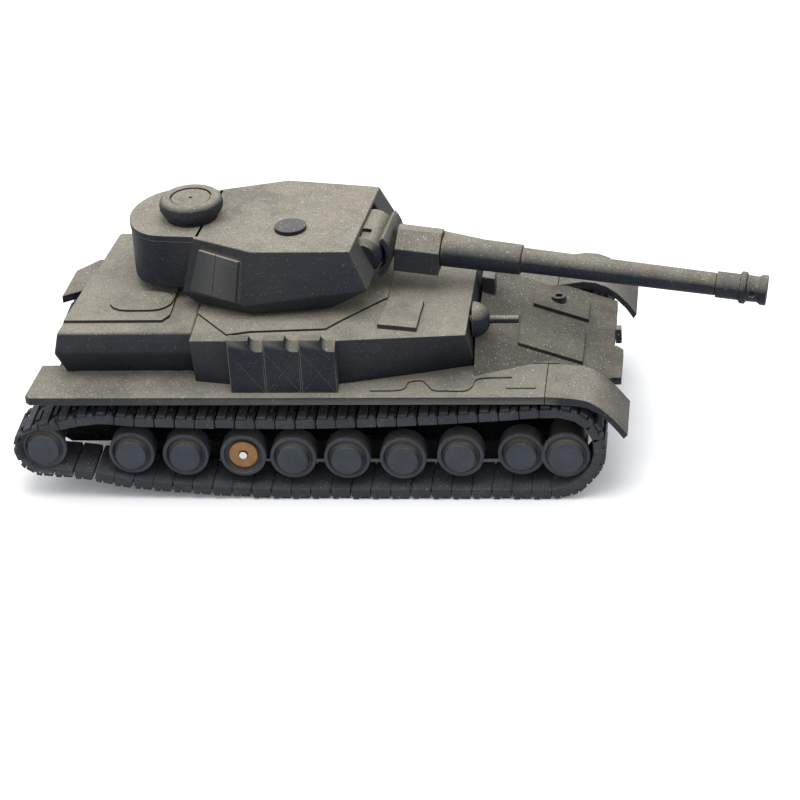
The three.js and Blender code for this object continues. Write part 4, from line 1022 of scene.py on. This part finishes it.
# ------------------------------------------------------------------ stage
class TANK_OT_stage(bpy.types.Operator):
    """Pale floor, overhead softbox and camera"""

    bl_idname = "tank.stage"
    bl_label = "Stage"

    def execute(self, context):
        scene = context.scene
        points, faces = slab((-3000, -3000, -10), (3000, 3000, 0))
        mesh = bpy.data.meshes.new("floor")
        mesh.from_pydata(points.tolist(), [], faces)
        f = Finish("floor_paper")
        f.colour(f.mix(f.noise(3, 2), (0.9, 0.9, 0.9), (0.92, 0.92, 0.92)))
        f.shader.inputs["Roughness"].default_value = 0.9
        f.shader.inputs["Emission Color"].default_value = (1, 1, 1, 1)
        f.shader.inputs["Emission Strength"].default_value = 0.06
        mesh.materials.append(f.material)
        plate = bpy.data.objects.new("floor", mesh)
        scene.collection.objects.link(plate)
        world = bpy.data.worlds.new("surroundings")
        world.use_nodes = True
        sky = world.node_tree.nodes["Background"]
        sky.inputs["Color"].default_value = (0.96, 0.98, 1.0, 1)
        sky.inputs["Strength"].default_value = looks().sky
        scene.world = world
        for name, place, size, share in (("softbox", (0.0, -0.25, 1.1), 0.9, 1.0),
                                         ("back_light", (-0.3, 0.9, 0.9), 0.8, 0.35)):
            light = bpy.data.lights.new(name, "AREA")
            light.energy = looks().light * share
            light.size = size
            lamp = bpy.data.objects.new(name, light)
            lamp.location = place
            lamp.rotation_euler = (-Vector(place)).to_track_quat("-Z", "Y").to_euler()
            scene.collection.objects.link(lamp)
        self.camera(scene)
        return {"FINISHED"}

    def camera(self, scene):
        """Seen from the right, turned a little towards the tail, looking down; rolled by a few degrees."""
        turn, down, roll = 0.1352817165, 0.5104944866, -0.0684932237
        target, distance = Vector((-0.001492, 0.0, 0.019261)), 1.922909
        ahead = Vector((-math.sin(turn) * math.cos(down), math.cos(turn) * math.cos(down), -math.sin(down)))
        right = Vector((math.cos(turn), math.sin(turn), 0))
        up = right.cross(ahead)
        x = math.cos(roll) * right + math.sin(roll) * up
        y = -math.sin(roll) * right + math.cos(roll) * up
        data = bpy.data.cameras.new("camera")
        data.lens = 135
        data.sensor_width = 36
        data.clip_end = 50
        camera = bpy.data.objects.new("camera", data)
        matrix = Matrix((x, y, -ahead)).transposed().to_4x4()
        matrix.translation = target - ahead * distance
        camera.matrix_world = matrix
        scene.collection.objects.link(camera)
        scene.camera = camera
        scene.view_settings.view_transform = "Standard"


class TANK_PT_panel(bpy.types.Panel):
    """Lists the tank's pieces and looks"""

    bl_label = "Carved tank"
    bl_idname = "TANK_PT_panel"
    bl_space_type = "VIEW_3D"
    bl_region_type = "UI"
    bl_category = "Tank"

    def draw(self, context):
        for name in TankLooks.__annotations__:
            self.layout.prop(context.scene.tank_looks, name)
        for operator in OPERATORS:
            self.layout.operator(operator.bl_idname)


OPERATORS = (TANK_OT_stage, TANK_OT_finishes, TANK_OT_hull, TANK_OT_cans, TANK_OT_hull_gun, TANK_OT_trim,
             TANK_OT_tracks, TANK_OT_wheels, TANK_OT_end_wheels, TANK_OT_turret, TANK_OT_bin,
             TANK_OT_cupola, TANK_OT_gun)
CLASSES = (TankLooks, *OPERATORS, TANK_PT_panel)


def register():
    """Adds the classes and the scene's looks."""
    for item in CLASSES:
        bpy.utils.register_class(item)
    bpy.types.Scene.tank_looks = bpy.props.PointerProperty(type=TankLooks)


def unregister():
    """Takes them away again."""
    del bpy.types.Scene.tank_looks
    for item in reversed(CLASSES):
        bpy.utils.unregister_class(item)


def main():
    """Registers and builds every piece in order."""
    register()
    for operator in OPERATORS:
        group, name = operator.bl_idname.split(".")
        getattr(getattr(bpy.ops, group), name)()
    bpy.context.view_layer.update()


if __name__ == "__main__":
    main()
